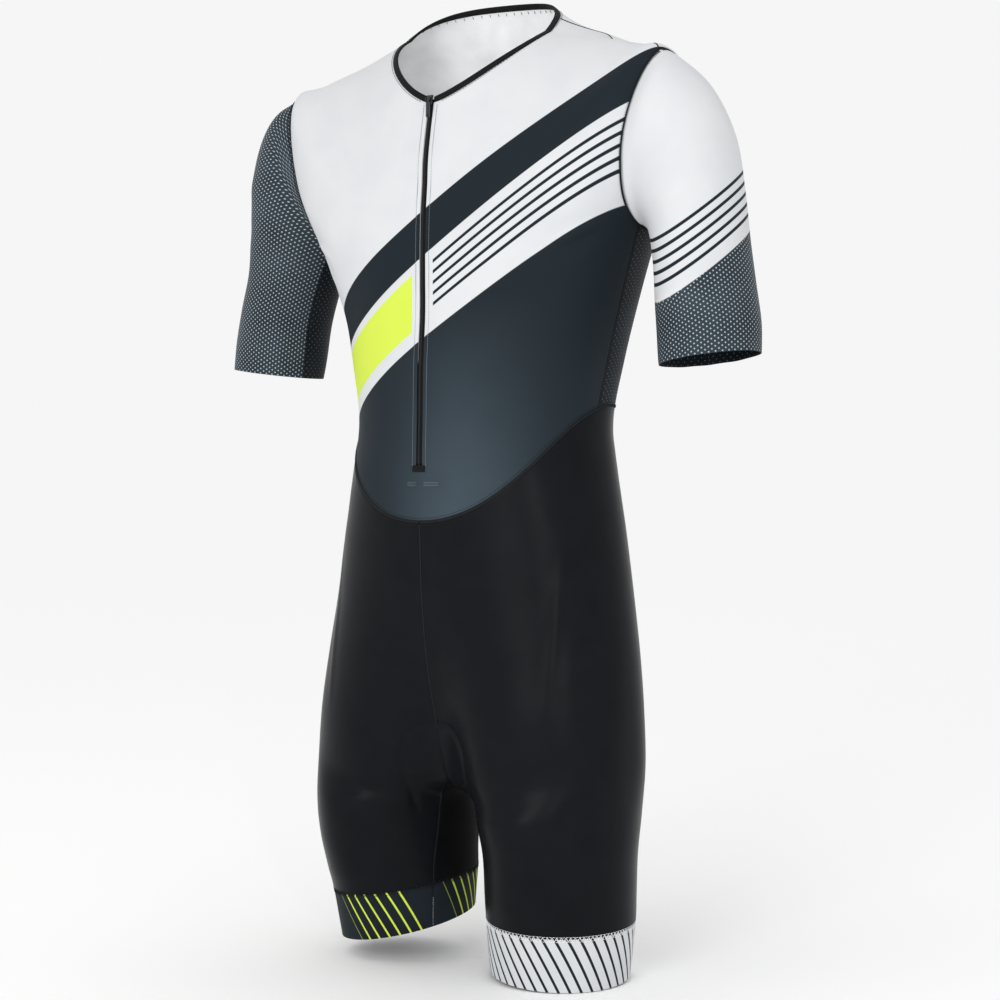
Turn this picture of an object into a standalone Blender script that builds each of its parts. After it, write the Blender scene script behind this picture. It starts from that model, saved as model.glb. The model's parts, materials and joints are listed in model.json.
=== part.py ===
"""A one-piece triathlon suit: short sleeves, half zip at the front, legs to mid thigh.

The suit keeps the hollow form that it has when it is worn. Every panel is a thin wall between
two skins, cut from one of two surfaces: the figure, which runs from the neck down both legs,
and the sleeve. Metres, +Z up, front towards -Y, the wearer's left towards +X.
"""

import math

import bmesh
import bpy
from mathutils import Matrix, Vector

# ---------------------------------------------------------------- driving dimensions

WALL = 0.0015  # knitted panel with its seam allowance
SEAM_GAP = 0.0003  # between neighbouring panels
SPLIT_ORDER = Vector((0.0, 0.37, 1.0))
NORMAL_STEP = 0.2  # degrees, and hundredths of a ring, for the slope of a surface
RING_STEP = 0.01
HALVINGS = 40  # how often a search halves its range
CREASE_ANGLE = 50.0  # degrees: sharper edges stay sharp

SHOULDER_SEAM = 110.0  # degrees round the neck from the centre front
SIDE_SEAM_FRONT = 88.0
SIDE_SEAM_BACK = 119.0
NECK_ROLL = 0.005  # the neck sits this much higher on the wearer's right, and lower on the left
NECK_VEE = 0.021  # how much straighter than a round neckline the front runs down to the zip
NECK_RINGS = 3  # rings over which roll and vee fade away

ARMHOLE_TOP_RING = 3.0
ARMHOLE_LOW_RING = 5.0
ARMHOLE_TOP_ANGLE = 86.0
ARMHOLE_LOW_ANGLE = 97.0
ARMHOLE_SPREAD = 29.0

WAIST_FRONT_Z = -0.490  # the waist seam dips to a point under the zip
WAIST_SIDE_Z = -0.382
WAIST_LEVEL_FROM = 99.0  # degrees: from here to the back the seam is level

SLIT_HALF = 0.0034  # half the opening that the zip fills
ZIP_FOOT_Z = -0.438
TAPE_HALF = 0.0030
TAPE_WALL = 0.0009
TAPE_SUNK = 0.0007
COIL_HALF = 0.0016
COIL_WALL = 0.0012
ZIP_RISE = 0.0055  # how far the zip runs up between the ends of the binding
STOP_HALF = 0.0070
STOP_LONG = 0.0060
STOP_WALL = 0.0009

BINDING_WIDE = 0.0062
BINDING_OUT = 0.0005
BINDING_IN = 0.0021
BINDING_ROUND = 0.0010

SLIDER_WIDE = 0.0064
SLIDER_LONG = 0.0090
SLIDER_HIGH = 0.0020
SLIDER_RISE = 0.0075  # how far its top end stands above the neck seam
LUG_THICK = 0.0011
LUG_LONG = 0.0030
LUG_HIGH = 0.0032
PIN_RADIUS = 0.0009
PULL_WIDE = 0.0026
PULL_TAB_WIDE = 0.0048
PULL_LONG = 0.0170
PULL_THICK = 0.0013
PIVOT_RISE = 0.0018  # above the slider's top face
SMALL_BEVEL = 0.0004

PAD_HALF_WIDE = 0.036
PAD_THICK = 0.0060
PAD_EDGE = 0.0020
PAD_END = 0.02  # share of the spine that the rounded ends leave bare
PAD_CLEAR = 0.0038
PAD_CURL = 0.005  # how far its edges bend towards the cloth
PAD_BEND = 0.6  # share of the way to the crotch where its spine starts to turn
PAD_CROTCH_ANGLES = (320.0, 270.0, 220.0)
PAD_SQUARE = 6  # how bluntly its ends are rounded
PAD_FRONT_Z = -0.683
PAD_BACK_Z = -0.640
CROTCH_DROP = 0.018  # how far the crotch hangs below its two ends
CLEFT_HALF = 0.050  # half the width over which a cleft between the thighs closes
CENTRE_HOLD = 60.0  # degrees from a centre seam over which the legs' spread sets in

# The figure's rings, from the neck seam down to the crotch. The rings are not level: each
# has a height at the centre front, at the sides and at the centre back.
RING_COLUMNS = (
    "z_front", "z_side", "z_back", "half_width", "y_side", "y_front", "y_back", "square", "cleft",
)
RINGS = (
    # z_front, z_side, z_back, half_width, y_side, y_front, y_back, square, cleft
    (-0.103, -0.029, 0.008, 0.085, -0.018, -0.090, 0.050, 2.0, 0.000),  # neck seam
    (-0.150, -0.042, -0.062, 0.135, -0.014, -0.098, 0.085, 2.0, 0.000),  # mid shoulder
    (-0.180, -0.054, -0.105, 0.178, -0.021, -0.100, 0.100, 2.1, 0.000),
    (-0.205, -0.066, -0.140, 0.213, -0.027, -0.102, 0.108, 2.2, 0.000),  # shoulder tip
    (-0.235, -0.137, -0.180, 0.210, -0.018, -0.103, 0.112, 2.2, 0.000),
    (-0.262, -0.222, -0.228, 0.176, -0.006, -0.103, 0.114, 2.2, 0.000),  # armpit
    (-0.300, -0.285, -0.285, 0.154, 0.000, -0.103, 0.110, 2.1, 0.000),
    (-0.345, -0.340, -0.340, 0.140, 0.000, -0.106, 0.098, 2.1, 0.000),
    (-0.395, -0.395, -0.395, 0.130, -0.002, -0.107, 0.090, 2.1, 0.000),  # waist
    (-0.445, -0.445, -0.445, 0.137, -0.005, -0.108, 0.090, 2.1, 0.000),
    (-0.500, -0.500, -0.500, 0.147, -0.008, -0.107, 0.094, 2.1, 0.000),
    (-0.560, -0.560, -0.560, 0.156, -0.010, -0.108, 0.098, 2.1, 0.004),
    (-0.620, -0.615, -0.620, 0.164, -0.013, -0.110, 0.094, 2.2, 0.014),  # hips
    (-0.680, -0.665, -0.675, 0.169, -0.015, -0.113, 0.086, 2.35, 0.032),
    (-0.728, -0.715, -0.725, 0.1705, -0.016, -0.113, 0.080, 2.5, 0.047),  # crotch
)
CROTCH = len(RINGS) - 1

SWELL_FALL = 3  # how fast the swell of a thigh's front dies out to its sides

# A leg's rings, from below the crotch to the hem. The drop is the share of the way to the hem.
LEG_COLUMNS = ("drop", "x", "y", "half_x", "half_y", "seam", "skew", "swell")
LEG_RINGS = (
    # drop, x, y, half_x, half_y, seam: degrees from the front of the thigh to the inner panel,
    # skew: how far its inner side sits back and its outer side forward, swell of its front
    (0.20, 0.0945, -0.016, 0.0740, 0.0835, 71.0, 0.002, 0.010),
    (0.40, 0.0945, -0.014, 0.0720, 0.0780, 66.0, 0.006, 0.011),
    (0.60, 0.0930, -0.012, 0.0705, 0.0737, 62.0, 0.003, 0.008),
    (0.74, 0.0915, -0.010, 0.0695, 0.0708, 60.0, 0.001, 0.004),  # band seam
    (1.00, 0.0895, -0.009, 0.0655, 0.0655, 59.0, 0.000, 0.000),  # hem
)
LEG_TOP_Z = -0.722
BAND_SEAM = CROTCH + len(LEG_RINGS) - 1
HEM = CROTCH + len(LEG_RINGS)
# Each leg's hem: its middle height, how far it leans, and the angle where it is lowest.
LEG_HEMS = {
    1: {"z": -0.909, "lean": 0.005, "low_at": 50.0},
    -1: {"z": -0.882, "lean": 0.015, "low_at": 47.0},
}

# The left sleeve's rings after the armhole: its top line, its under line and its depth.
SLEEVE_COLUMNS = ("over_x", "over_y", "over_z", "under_x", "under_y", "under_z", "half_y")
SLEEVE_RINGS = (
    # over_x, over_y, over_z, under_x, under_y, under_z, half_y
    (0.229, -0.025, -0.077, 0.182, 0.006, -0.225, 0.0560),
    (0.252, -0.021, -0.100, 0.188, 0.005, -0.230, 0.0560),
    (0.270, -0.015, -0.140, 0.192, 0.003, -0.238, 0.0545),
    (0.277, -0.010, -0.190, 0.196, -0.001, -0.251, 0.0525),
    (0.282, -0.008, -0.235, 0.200, -0.006, -0.270, 0.0505),
    (0.290, -0.011, -0.275, 0.2035, -0.011, -0.296, 0.0495),
    (0.297, -0.013, -0.310, 0.206, -0.013, -0.324, 0.0480),
    (0.299, -0.015, -0.338, 0.209, -0.015, -0.350, 0.0455),  # cuff
)

# How finely each piece is drawn.
SHOULDER_ROWS = 4
ARMHOLE_ROWS = 8
ZIP_SIDE_ROWS = 5  # rows between the armhole's foot and the zip's foot
WAIST_ROWS = 2  # rows between the zip's foot and the waist seam
HALF_COLUMNS = 9
COLUMN_EASE = 1.15  # columns stand closer towards the middle
SIDE_COLUMNS = 4
SHORTS_ROWS = 8
LEG_LEVELS = (0.15, 0.35, 0.65, 1.0, 1.5, 2.0, 2.5, 3.0, 3.5, 4.0)
INNER_COLUMNS = 6
ZIP_ROWS = 14
PAD_ROWS = 16
PAD_COLUMNS = 6

WHITE_KNIT = (0.83, 0.84, 0.85, 1)
BLACK_KNIT = (0.012, 0.013, 0.016, 1)
SLATE_MESH = (0.03, 0.05, 0.065, 1)
BLACK_TRIM = (0.008, 0.008, 0.009, 1)
PAD_FOAM = (0.05, 0.05, 0.055, 1)


# ---------------------------------------------------------------- the surfaces


def table(columns, rows):
    """Rows of numbers as one dictionary a row, so that each value is read by its name."""
    return [dict(zip(columns, row)) for row in rows]


FIGURE = table(RING_COLUMNS, RINGS)
LEG = table(LEG_COLUMNS, LEG_RINGS)
SLEEVE = table(SLEEVE_COLUMNS, SLEEVE_RINGS)


def between(a, b, share):
    return a + (b - a) * share


def through(point_at, last, t):
    """A smooth curve through numbered points, at t from 0 to last."""
    t = min(max(t, 0.0), float(last))
    i = min(int(t), last - 1)
    f = t - i
    before = point_at(max(i - 1, 0))
    start = point_at(i)
    end = point_at(i + 1)
    after = point_at(min(i + 2, last))
    return 0.5 * (
        2 * start
        + (end - before) * f
        + (2 * before - 5 * start + 4 * end - after) * f**2
        + (3 * start - before - 3 * end + after) * f**3
    )


def torso_ring(angle, k, side=0):
    """A point of ring k of the body: 0 degrees is the centre front, 180 the centre back."""
    ring = FIGURE[k]
    sine = math.sin(math.radians(angle))
    cosine = math.cos(math.radians(angle))
    power = 2 / ring["square"]
    x = ring["half_width"] * math.copysign(abs(sine) ** power, sine)
    end = "front" if cosine > 0 else "back"
    y = ring["y_side"] + (ring["y_" + end] - ring["y_side"]) * abs(cosine) ** power
    hollow = ring["cleft"] * math.exp(-((x / CLEFT_HALF) ** 2))
    y += hollow if cosine > 0 else -hollow
    middle = (ring["z_front"] + ring["z_back"]) / 2
    z = middle + (ring["z_front"] - middle) * cosine + (ring["z_side"] - middle) * sine**2
    fade = max(0, 1 - k / NECK_RINGS) ** 2
    roll = side * NECK_ROLL * sine
    vee = NECK_VEE * abs(sine) * max(cosine, 0)
    return Vector((x, y, z + fade * (vee - roll)))


def thigh_angle(angle, seam):
    """The angle round the thigh: 0 to 180 is its outer side, 180 to 360 the inner panel."""
    if angle <= 180:
        return -seam + angle * (180 + 2 * seam) / 180
    return 180 + seam + (angle - 180) * (180 - 2 * seam) / 180


def leg_ring(angle, k, side):
    """A point of leg ring k, drawn as a left leg; side picks whose hem it runs to."""
    ring = LEG[k]
    hem = LEG_HEMS[side]
    turn = math.radians(thigh_angle(angle, ring["seam"]))
    x = ring["x"] + ring["half_x"] * math.sin(turn)
    y = ring["y"] - ring["half_y"] * math.cos(turn) - ring["skew"] * math.sin(turn)
    y -= ring["swell"] * max(math.cos(turn), 0) ** SWELL_FALL
    lean = hem["lean"] * math.cos(turn - math.radians(hem["low_at"]))
    z = between(LEG_TOP_Z, hem["z"] - lean, ring["drop"])
    return Vector((x, y, z))


def crotch_line(angle):
    """The line under the body where the two legs meet, from the back to the front."""
    share = (angle - 180) / 180
    back = torso_ring(180, CROTCH)
    front = torso_ring(0, CROTCH)
    point = between(back, front, share)
    point.x = 0
    point.z -= CROTCH_DROP * math.sin(math.pi * share)
    return point


def figure_ring(angle, k, side):
    """A point of any ring: of the body down to the crotch, and of one leg below it."""
    if k > CROTCH:
        return leg_ring(angle, k - CROTCH - 1, side)
    if k == CROTCH and angle > 180:
        return crotch_line(angle)
    if k == CROTCH - 1 and angle > 180:
        share = (angle - 180) / 180
        seam = between(torso_ring(180, k), torso_ring(0, k), share)
        mirrored = leg_ring(angle, 0, side)
        mirrored.x = -mirrored.x
        return between(seam, mirrored, math.sin(math.pi * share))
    return torso_ring(angle, k, side)


def body_ring(angle, k, side):
    """A ring as the body above the crotch sees it: its centre seams keep to the middle."""
    point = figure_ring(angle, k, side)
    near = min(angle, 180 - angle) / CENTRE_HOLD
    if k > CROTCH and near < 1:
        point.x -= leg_ring(0, 0, side).x * (1 - near) ** 2
    return point


def figure(angle, t, side):
    """A point of the suit's outside, drawn on the left; t counts the rings from the neck."""
    angle %= 360
    if t < CROTCH:
        if angle > 180:
            point = figure(360 - angle, t, side)
            return Vector((-point.x, point.y, point.z))
        return through(lambda k: body_ring(angle, k, side), HEM, t)
    return through(lambda k: figure_ring(angle, k, side), HEM, t)


def figure_normal(angle, t, side):
    """The way out of the suit at a point of the figure."""
    inner = 180 < angle < 360 and t >= CROTCH
    above = max(t - RING_STEP, CROTCH) if inner else t - RING_STEP
    across = figure(angle + NORMAL_STEP, t, side) - figure(angle - NORMAL_STEP, t, side)
    down = figure(angle, t + RING_STEP, side) - figure(angle, above, side)
    return down.cross(across).normalized()


def ring_at_height(angle, z, side=1):
    """The ring count at which the figure has sunk to height z."""
    low, high = 0.0, float(HEM)
    for _ in range(HALVINGS):
        middle = (low + high) / 2
        if figure(angle, middle, side).z > z:
            low = middle
        else:
            high = middle
    return low


def angle_at_x(t, x, side=1):
    """The angle near the centre front at which ring t is x wide of the middle."""
    low, high = 0.0, 45.0
    for _ in range(HALVINGS):
        middle = (low + high) / 2
        if figure(middle, t, side).x < x:
            low = middle
        else:
            high = middle
    return low


def armhole_place(turn):
    """Angle and ring of the armhole: turn is 0 at its top, 90 at its front, 180 at its foot."""
    cosine = math.cos(math.radians(turn))
    sine = math.sin(math.radians(turn))
    share = (1 - cosine) / 2
    ring = between(ARMHOLE_TOP_RING, ARMHOLE_LOW_RING, share)
    middle = between(ARMHOLE_TOP_ANGLE, ARMHOLE_LOW_ANGLE, share)
    return middle - ARMHOLE_SPREAD * sine, ring


def sleeve_ring(turn, k):
    """A point of sleeve ring k, where ring 0 is the armhole."""
    if k == 0:
        angle, ring = armhole_place(turn)
        return figure(angle, ring, 1)
    row = SLEEVE[k - 1]
    over = Vector((row["over_x"], row["over_y"], row["over_z"]))
    under = Vector((row["under_x"], row["under_y"], row["under_z"]))
    reach = math.cos(math.radians(turn)) * (over - under) / 2
    depth = Vector((0, -row["half_y"] * math.sin(math.radians(turn)), 0))
    return (over + under) / 2 + reach + depth


def sleeve(turn, s):
    return through(lambda k: sleeve_ring(turn, k), len(SLEEVE), s)


def sleeve_normal(turn, s):
    across = sleeve(turn + NORMAL_STEP, s) - sleeve(turn - NORMAL_STEP, s)
    down = sleeve(turn, s + RING_STEP) - sleeve(turn, s - RING_STEP)
    return across.cross(down).normalized()


# ---------------------------------------------------------------- nodes of a panel's grid
# A node is an outer point and the way from it, in wall thicknesses, to the inner skin.


def mirrored(node, side):
    point, inward = node
    flip = Vector((side, 1, 1))
    return point * flip, inward * flip


def body_node(angle, t, side=1):
    """A node of the figure. A negative angle lies on the wearer's right."""
    half = side if angle >= 0 else -side
    turn = abs(angle)
    return mirrored((figure(turn, t, half), -figure_normal(turn, t, half)), half)


def armhole_node(turn, side):
    """The armhole's edge, where body and sleeve share a mitred rim."""
    angle, ring = armhole_place(turn)
    body = figure_normal(angle, ring, 1)
    arm = sleeve_normal(turn, 0)
    mitre = (body + arm) / (1 + body.dot(arm))
    return mirrored((figure(angle, ring, 1), -mitre), side)


def sleeve_node(turn, s, side):
    if s == 0:
        return armhole_node(turn, side)
    return mirrored((sleeve(turn, s), -sleeve_normal(turn, s)), side)


# ---------------------------------------------------------------- from grids to solids


def borders(grid):
    """The sides of a grid: the nodes along each, and the step from it into the grid."""
    foot = len(grid) - 1
    end = len(grid[0]) - 1
    return {
        "top": ([(0, c) for c in range(end + 1)], (1, 0)),
        "foot": ([(foot, c) for c in range(end + 1)], (-1, 0)),
        "start": ([(r, 0) for r in range(foot + 1)], (0, 1)),
        "end": ([(r, end) for r in range(foot + 1)], (0, -1)),
    }


def seam_shifts(grid, wraps, edges):
    """The short moves that leave half a seam gap on this panel's side of each seam."""
    pulls = {}
    for side in edges.split():
        nodes, (down, across) = borders(grid)[side]
        if wraps:
            nodes = nodes + nodes[:1]
        for a, b in zip(nodes, nodes[1:]):
            along = (grid[b[0]][b[1]][0] - grid[a[0]][a[1]][0]).normalized()
            for r, c in (a, b):
                inside = grid[r + down][c + across][0] - grid[r][c][0]
                pull = (inside - along * inside.dot(along)).normalized()
                pulls.setdefault((r, c), []).append(pull)
    shifts = {}
    for node, (first, *rest) in pulls.items():
        second = rest[0] if rest else first
        shifts[node] = (first + second) / (1 + first.dot(second)) * SEAM_GAP / 2
    return shifts


def skins(grid, shifts, thick, lift):
    """Outer and inner points of each node."""
    pairs = []
    for r, row in enumerate(grid):
        moved = [(p + shifts.get((r, c), Vector()), w) for c, (p, w) in enumerate(row)]
        pairs.append([(p - w * lift, p + w * (thick - lift)) for p, w in moved])
    return pairs


def rank(point):
    """An order of points, so that both panels at a seam split its twisted sides alike."""
    return point.dot(SPLIT_ORDER)


def wall(name, grid, coat, thick=WALL, lift=0.0, wraps=False, edges="", absent=()):
    """A closed solid between the two skins of a grid, without the cells in absent."""
    pairs = skins(grid, seam_shifts(grid, wraps, edges), thick, lift)
    mesh = bmesh.new()
    made = [[[mesh.verts.new(p) for p in pair] for pair in row] for row in pairs]
    columns = len(grid[0])
    spans = columns if wraps else columns - 1
    cells = {(r, c) for r in range(len(grid) - 1) for c in range(spans)} - set(absent)
    for r, c in sorted(cells):
        e = (c + 1) % columns
        corners = ((r, c), (r + 1, c), (r + 1, e), (r, e))
        near = ((r, c - 1), (r + 1, c), (r, c + 1), (r - 1, c))
        for skin in (0, 1):
            mesh.faces.new([made[i][j][skin] for i, j in corners])
        for side, (row, column) in enumerate(near):
            beside = (row, column % spans) if wraps else (row, column)
            if beside not in cells:
                a = made[corners[side][0]][corners[side][1]]
                b = made[corners[(side + 1) % 4][0]][corners[(side + 1) % 4][1]]
                if rank(a[0].co) > rank(b[0].co):
                    a, b = b, a
                mesh.faces.new((a[0], b[0], b[1]))
                mesh.faces.new((a[0], b[1], a[1]))
    loose = [v for v in mesh.verts if not v.link_faces]
    bmesh.ops.delete(mesh, geom=loose, context="VERTS")
    bmesh.ops.recalc_face_normals(mesh, faces=mesh.faces)
    return finished(name, mesh, coat)


def finished(name, mesh, coat):
    """Turns a bmesh into a named object of the suit with its material."""
    data = bpy.data.meshes.new(name)
    mesh.to_mesh(data)
    mesh.free()
    data.shade_smooth()
    data.set_sharp_from_angle(angle=math.radians(CREASE_ANGLE))
    data.materials.append(coat)
    made = bpy.data.objects.new(name, data)
    suit.objects.link(made)
    return made


def finish(name, colour, roughness, metallic=0.0):
    """A Principled material."""
    made = bpy.data.materials.new(name)
    made.use_nodes = True
    shader = made.node_tree.nodes["Principled BSDF"]
    shader.inputs["Base Color"].default_value = colour
    shader.inputs["Roughness"].default_value = roughness
    shader.inputs["Metallic"].default_value = metallic
    return made


# ---------------------------------------------------------------- the upper body


def waist_ring(angle):
    """Ring count of the waist seam at an angle."""
    share = math.cos(math.radians(min(angle, WAIST_LEVEL_FROM) * 90 / WAIST_LEVEL_FROM)) ** 2
    return ring_at_height(angle, between(WAIST_SIDE_Z, WAIST_FRONT_Z, share))


def armhole_turn_at(angle, front):
    """The turn at which the armhole's lower half meets a side seam."""
    low, high = (90.0, 180.0) if front else (270.0, 180.0)
    for _ in range(HALVINGS):
        middle = (low + high) / 2
        at = armhole_place(middle)[0]
        if (at < angle) == front:
            low = middle
        else:
            high = middle
    return low


def spread(first, last, steps, ease=1.0):
    """Numbers from first to last, both included, closer together at first if eased."""
    return [between(first, last, (i / steps) ** ease) for i in range(steps + 1)]


def side_shares():
    """The rows below the armhole, as shares of the way to the waist seam."""
    top = armhole_place(armhole_turn_at(SIDE_SEAM_FRONT, True))[1]
    foot = (ring_at_height(0, ZIP_FOOT_Z) - top) / (waist_ring(0) - top)
    return spread(0, foot, ZIP_SIDE_ROWS) + spread(foot, 1, WAIST_ROWS)[1:]


def armhole_turns(part):
    """The turns of the armhole's nodes along the front, side or back panel."""
    front = armhole_turn_at(SIDE_SEAM_FRONT, True)
    back = armhole_turn_at(SIDE_SEAM_BACK, False)
    if part == "front":
        return spread(0.0, front, ARMHOLE_ROWS)
    if part == "back":
        return spread(360.0, back, ARMHOLE_ROWS)
    return spread(front, back, SIDE_COLUMNS)


def hip_angles():
    """The angles of the waist seam's nodes from the centre front to the centre back."""
    slit = angle_at_x(waist_ring(0), SLIT_HALF)
    front = spread(slit, SIDE_SEAM_FRONT, HALF_COLUMNS, COLUMN_EASE)
    side = [armhole_place(turn)[0] for turn in armhole_turns("side")]
    back = spread(180.0, SIDE_SEAM_BACK, HALF_COLUMNS, COLUMN_EASE)
    return [0.0] + front[1:] + side[1:-1] + back[::-1]


def panel_edge(front):
    """The edge of a front or back panel from the neck to the waist: angle, ring, armhole turn."""
    seam = SIDE_SEAM_FRONT if front else SIDE_SEAM_BACK
    edge = []
    for i in range(SHOULDER_ROWS):
        share = i / SHOULDER_ROWS
        angle = between(SHOULDER_SEAM, ARMHOLE_TOP_ANGLE, share)
        edge.append((angle, ARMHOLE_TOP_RING * share, None))
    for turn in armhole_turns("front" if front else "back"):
        angle, ring = armhole_place(turn)
        edge.append((angle, ring, turn))
    start = edge[-1][1]
    end = waist_ring(seam)
    for share in SIDE_SHARES[1:]:
        edge.append((seam, between(start, end, share), None))
    return edge


def row_level(row, angle, ring):
    """Ring count of a row: level with its edge down to the armhole's foot, then leaning."""
    if row <= SIDE_TOP_ROW:
        return ring
    return between(SIDE_TOP_RING, waist_ring(angle), SIDE_SHARES[row - SIDE_TOP_ROW])


def edge_node(angle, ring, turn, side):
    if turn is None:
        return body_node(angle * side, ring)
    return armhole_node(turn, side)


def front_panel():
    """The front in one piece, slit from the neck to the zip's foot."""
    grid = []
    for i, (angle, ring, turn) in enumerate(panel_edge(True)):
        slit = angle_at_x(row_level(i, 0, ring), SLIT_HALF)
        angles = spread(slit, angle, HALF_COLUMNS, COLUMN_EASE)[:-1]
        places = [(at, row_level(i, at, ring)) for at in angles]
        right = [body_node(-at, level) for at, level in reversed(places)]
        left = [body_node(at, level) for at, level in places]
        first = edge_node(angle, ring, turn, -1)
        last = edge_node(angle, ring, turn, 1)
        grid.append([first] + right + left + [last])
    slit_rows = SIDE_TOP_ROW + ZIP_SIDE_ROWS
    absent = [(r, HALF_COLUMNS) for r in range(slit_rows)]
    return wall("front_panel", grid, white, edges="top foot start end", absent=absent)


def back_panel():
    """The back in one piece, from the shoulder seams to the waist."""
    grid = []
    for i, (angle, ring, turn) in enumerate(panel_edge(False)):
        angles = spread(180.0, angle, HALF_COLUMNS, COLUMN_EASE)[:-1]
        places = [(at, row_level(i, at, ring)) for at in angles]
        left = [body_node(at, level) for at, level in reversed(places)]
        right = [body_node(-at, level) for at, level in places[1:]]
        first = edge_node(angle, ring, turn, 1)
        last = edge_node(angle, ring, turn, -1)
        grid.append([first] + left + right + [last])
    return wall("back_panel", grid, white, edges="top foot start end")


def side_panel(side, name):
    """The panel under the arm, from the foot of the armhole to the waist."""
    turns = armhole_turns("side")
    grid = [[armhole_node(turn, side) for turn in turns]]
    for share in SIDE_SHARES[1:]:
        row = []
        for turn in turns:
            angle, ring = armhole_place(turn)
            row.append(body_node(angle * side, between(ring, waist_ring(angle), share)))
        grid.append(row)
    return wall(name, grid, mesh_knit, edges="top foot start end")


def sleeve_panel(name, side, turns):
    """A lengthwise panel of a sleeve, with a column at each turn round the arm."""
    grid = []
    for s in range(len(SLEEVE) + 1):
        grid.append([sleeve_node(turn, s, side) for turn in turns])
    return wall(name, grid, mesh_knit, edges="top start end")


# ---------------------------------------------------------------- the shorts


def shorts_panel(name, side):
    """One half of the shorts, from the centre front round the hip to the centre back."""
    angles = hip_angles()
    grid = []
    for r in range(SHORTS_ROWS + 1):
        row = []
        for angle in angles:
            row.append(body_node(angle, between(waist_ring(angle), CROTCH, r / SHORTS_ROWS), side))
        grid.append(row)
    for level in LEG_LEVELS:
        grid.append([body_node(angle, CROTCH + level, side) for angle in angles])
    return wall(name, grid, black, edges="top foot start end")


def inner_leg(name, side):
    """The inner thigh panel, from the crotch line to the band."""
    angles = spread(180.0, 360.0, INNER_COLUMNS)
    grid = []
    for level in (0.0,) + LEG_LEVELS:
        grid.append([body_node(angle, CROTCH + level, side) for angle in angles])
    return wall(name, grid, black, edges="top foot start end")


def leg_band(name, side):
    """The elastic band round the hem."""
    angles = hip_angles() + spread(180.0, 360.0, INNER_COLUMNS)[1:-1]
    grid = []
    for level in (BAND_SEAM, BAND_SEAM + 0.5, HEM):
        grid.append([body_node(angle, level, side) for angle in angles])
    return wall(name, grid, white if side > 0 else mesh_knit, wraps=True, edges="top")


# ---------------------------------------------------------------- neck, zip and pad


def neck_binding():
    """The folded tape round the neck, whose ends meet the zip."""
    slit = angle_at_x(0, SLIT_HALF + SEAM_GAP)
    section = (
        (SEAM_GAP / 2, BINDING_OUT),
        (BINDING_WIDE - BINDING_ROUND, BINDING_OUT),
        (BINDING_WIDE, (BINDING_OUT - BINDING_IN) / 2),
        (BINDING_WIDE - BINDING_ROUND, -BINDING_IN),
        (SEAM_GAP / 2, -BINDING_IN),
    )
    left = spread(slit, SHOULDER_SEAM, HALF_COLUMNS, COLUMN_EASE)
    left += spread(180.0, SHOULDER_SEAM, HALF_COLUMNS, COLUMN_EASE)[-2::-1]
    mesh = bmesh.new()
    rings = []
    for angle in left + [-angle for angle in reversed(left[:-1])]:
        point, inward = body_node(angle, 0)
        lower = body_node(angle, RING_STEP)[0]
        rise = (point - lower).normalized()
        rings.append([mesh.verts.new(point + rise * up - inward * out) for up, out in section])
    for a, b in zip(rings, rings[1:]):
        for j in range(len(section)):
            n = (j + 1) % len(section)
            mesh.faces.new((a[j], a[n], b[n], b[j]))
    mesh.faces.new(rings[0])
    mesh.faces.new(rings[-1])
    bmesh.ops.recalc_face_normals(mesh, faces=mesh.faces)
    return finished("neck_binding", mesh, trim)


def strip(name, half, first, last, rows, thick, lift, rise=0.0):
    """A band down the centre front, from one height count to another."""
    grid = []
    for r in range(rows + 1):
        t = between(first, last, r / rows)
        edge = angle_at_x(t, half)
        row = [body_node(angle, t) for angle in (-edge, -edge / 2, edge / 2, edge)]
        grid.append(row)
    if rise:
        top = grid[0]
        up = (top[1][0] - grid[1][1][0]).normalized() * rise
        grid.insert(0, [(point + up, inward) for point, inward in top])
    return wall(name, grid, trim, thick=thick, lift=lift)


def zip_parts():
    """Tape, closed coil and the stop at the foot."""
    foot = ring_at_height(0, ZIP_FOOT_Z + SEAM_GAP)
    strip("zip_tape", TAPE_HALF, 0, foot, ZIP_ROWS, TAPE_WALL, -TAPE_SUNK, ZIP_RISE)
    coil_lift = COIL_WALL + SEAM_GAP - TAPE_SUNK
    coil_end = ring_at_height(0, ZIP_FOOT_Z + STOP_LONG / 3)
    strip("zip_coil", COIL_HALF, 0, coil_end, ZIP_ROWS, COIL_WALL, coil_lift, ZIP_RISE)
    stop_end = ring_at_height(0, ZIP_FOOT_Z - STOP_LONG)
    stop_start = ring_at_height(0, ZIP_FOOT_Z)
    strip("zip_stop", STOP_HALF, stop_start, stop_end, 2, STOP_WALL, STOP_WALL + SEAM_GAP)


def pad_spine():
    """Points just inside the centre seams, from the belly under the crotch to the seat."""
    front = (PAD_FRONT_Z, between(PAD_FRONT_Z, FIGURE[CROTCH]["z_front"], PAD_BEND))
    back = (between(PAD_BACK_Z, FIGURE[CROTCH]["z_back"], PAD_BEND), PAD_BACK_Z)
    points = [figure(0, ring_at_height(0, z), 1) for z in front]
    points += [crotch_line(angle) for angle in PAD_CROTCH_ANGLES]
    points += [figure(180, ring_at_height(180, z), 1) for z in back]
    return points


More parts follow.
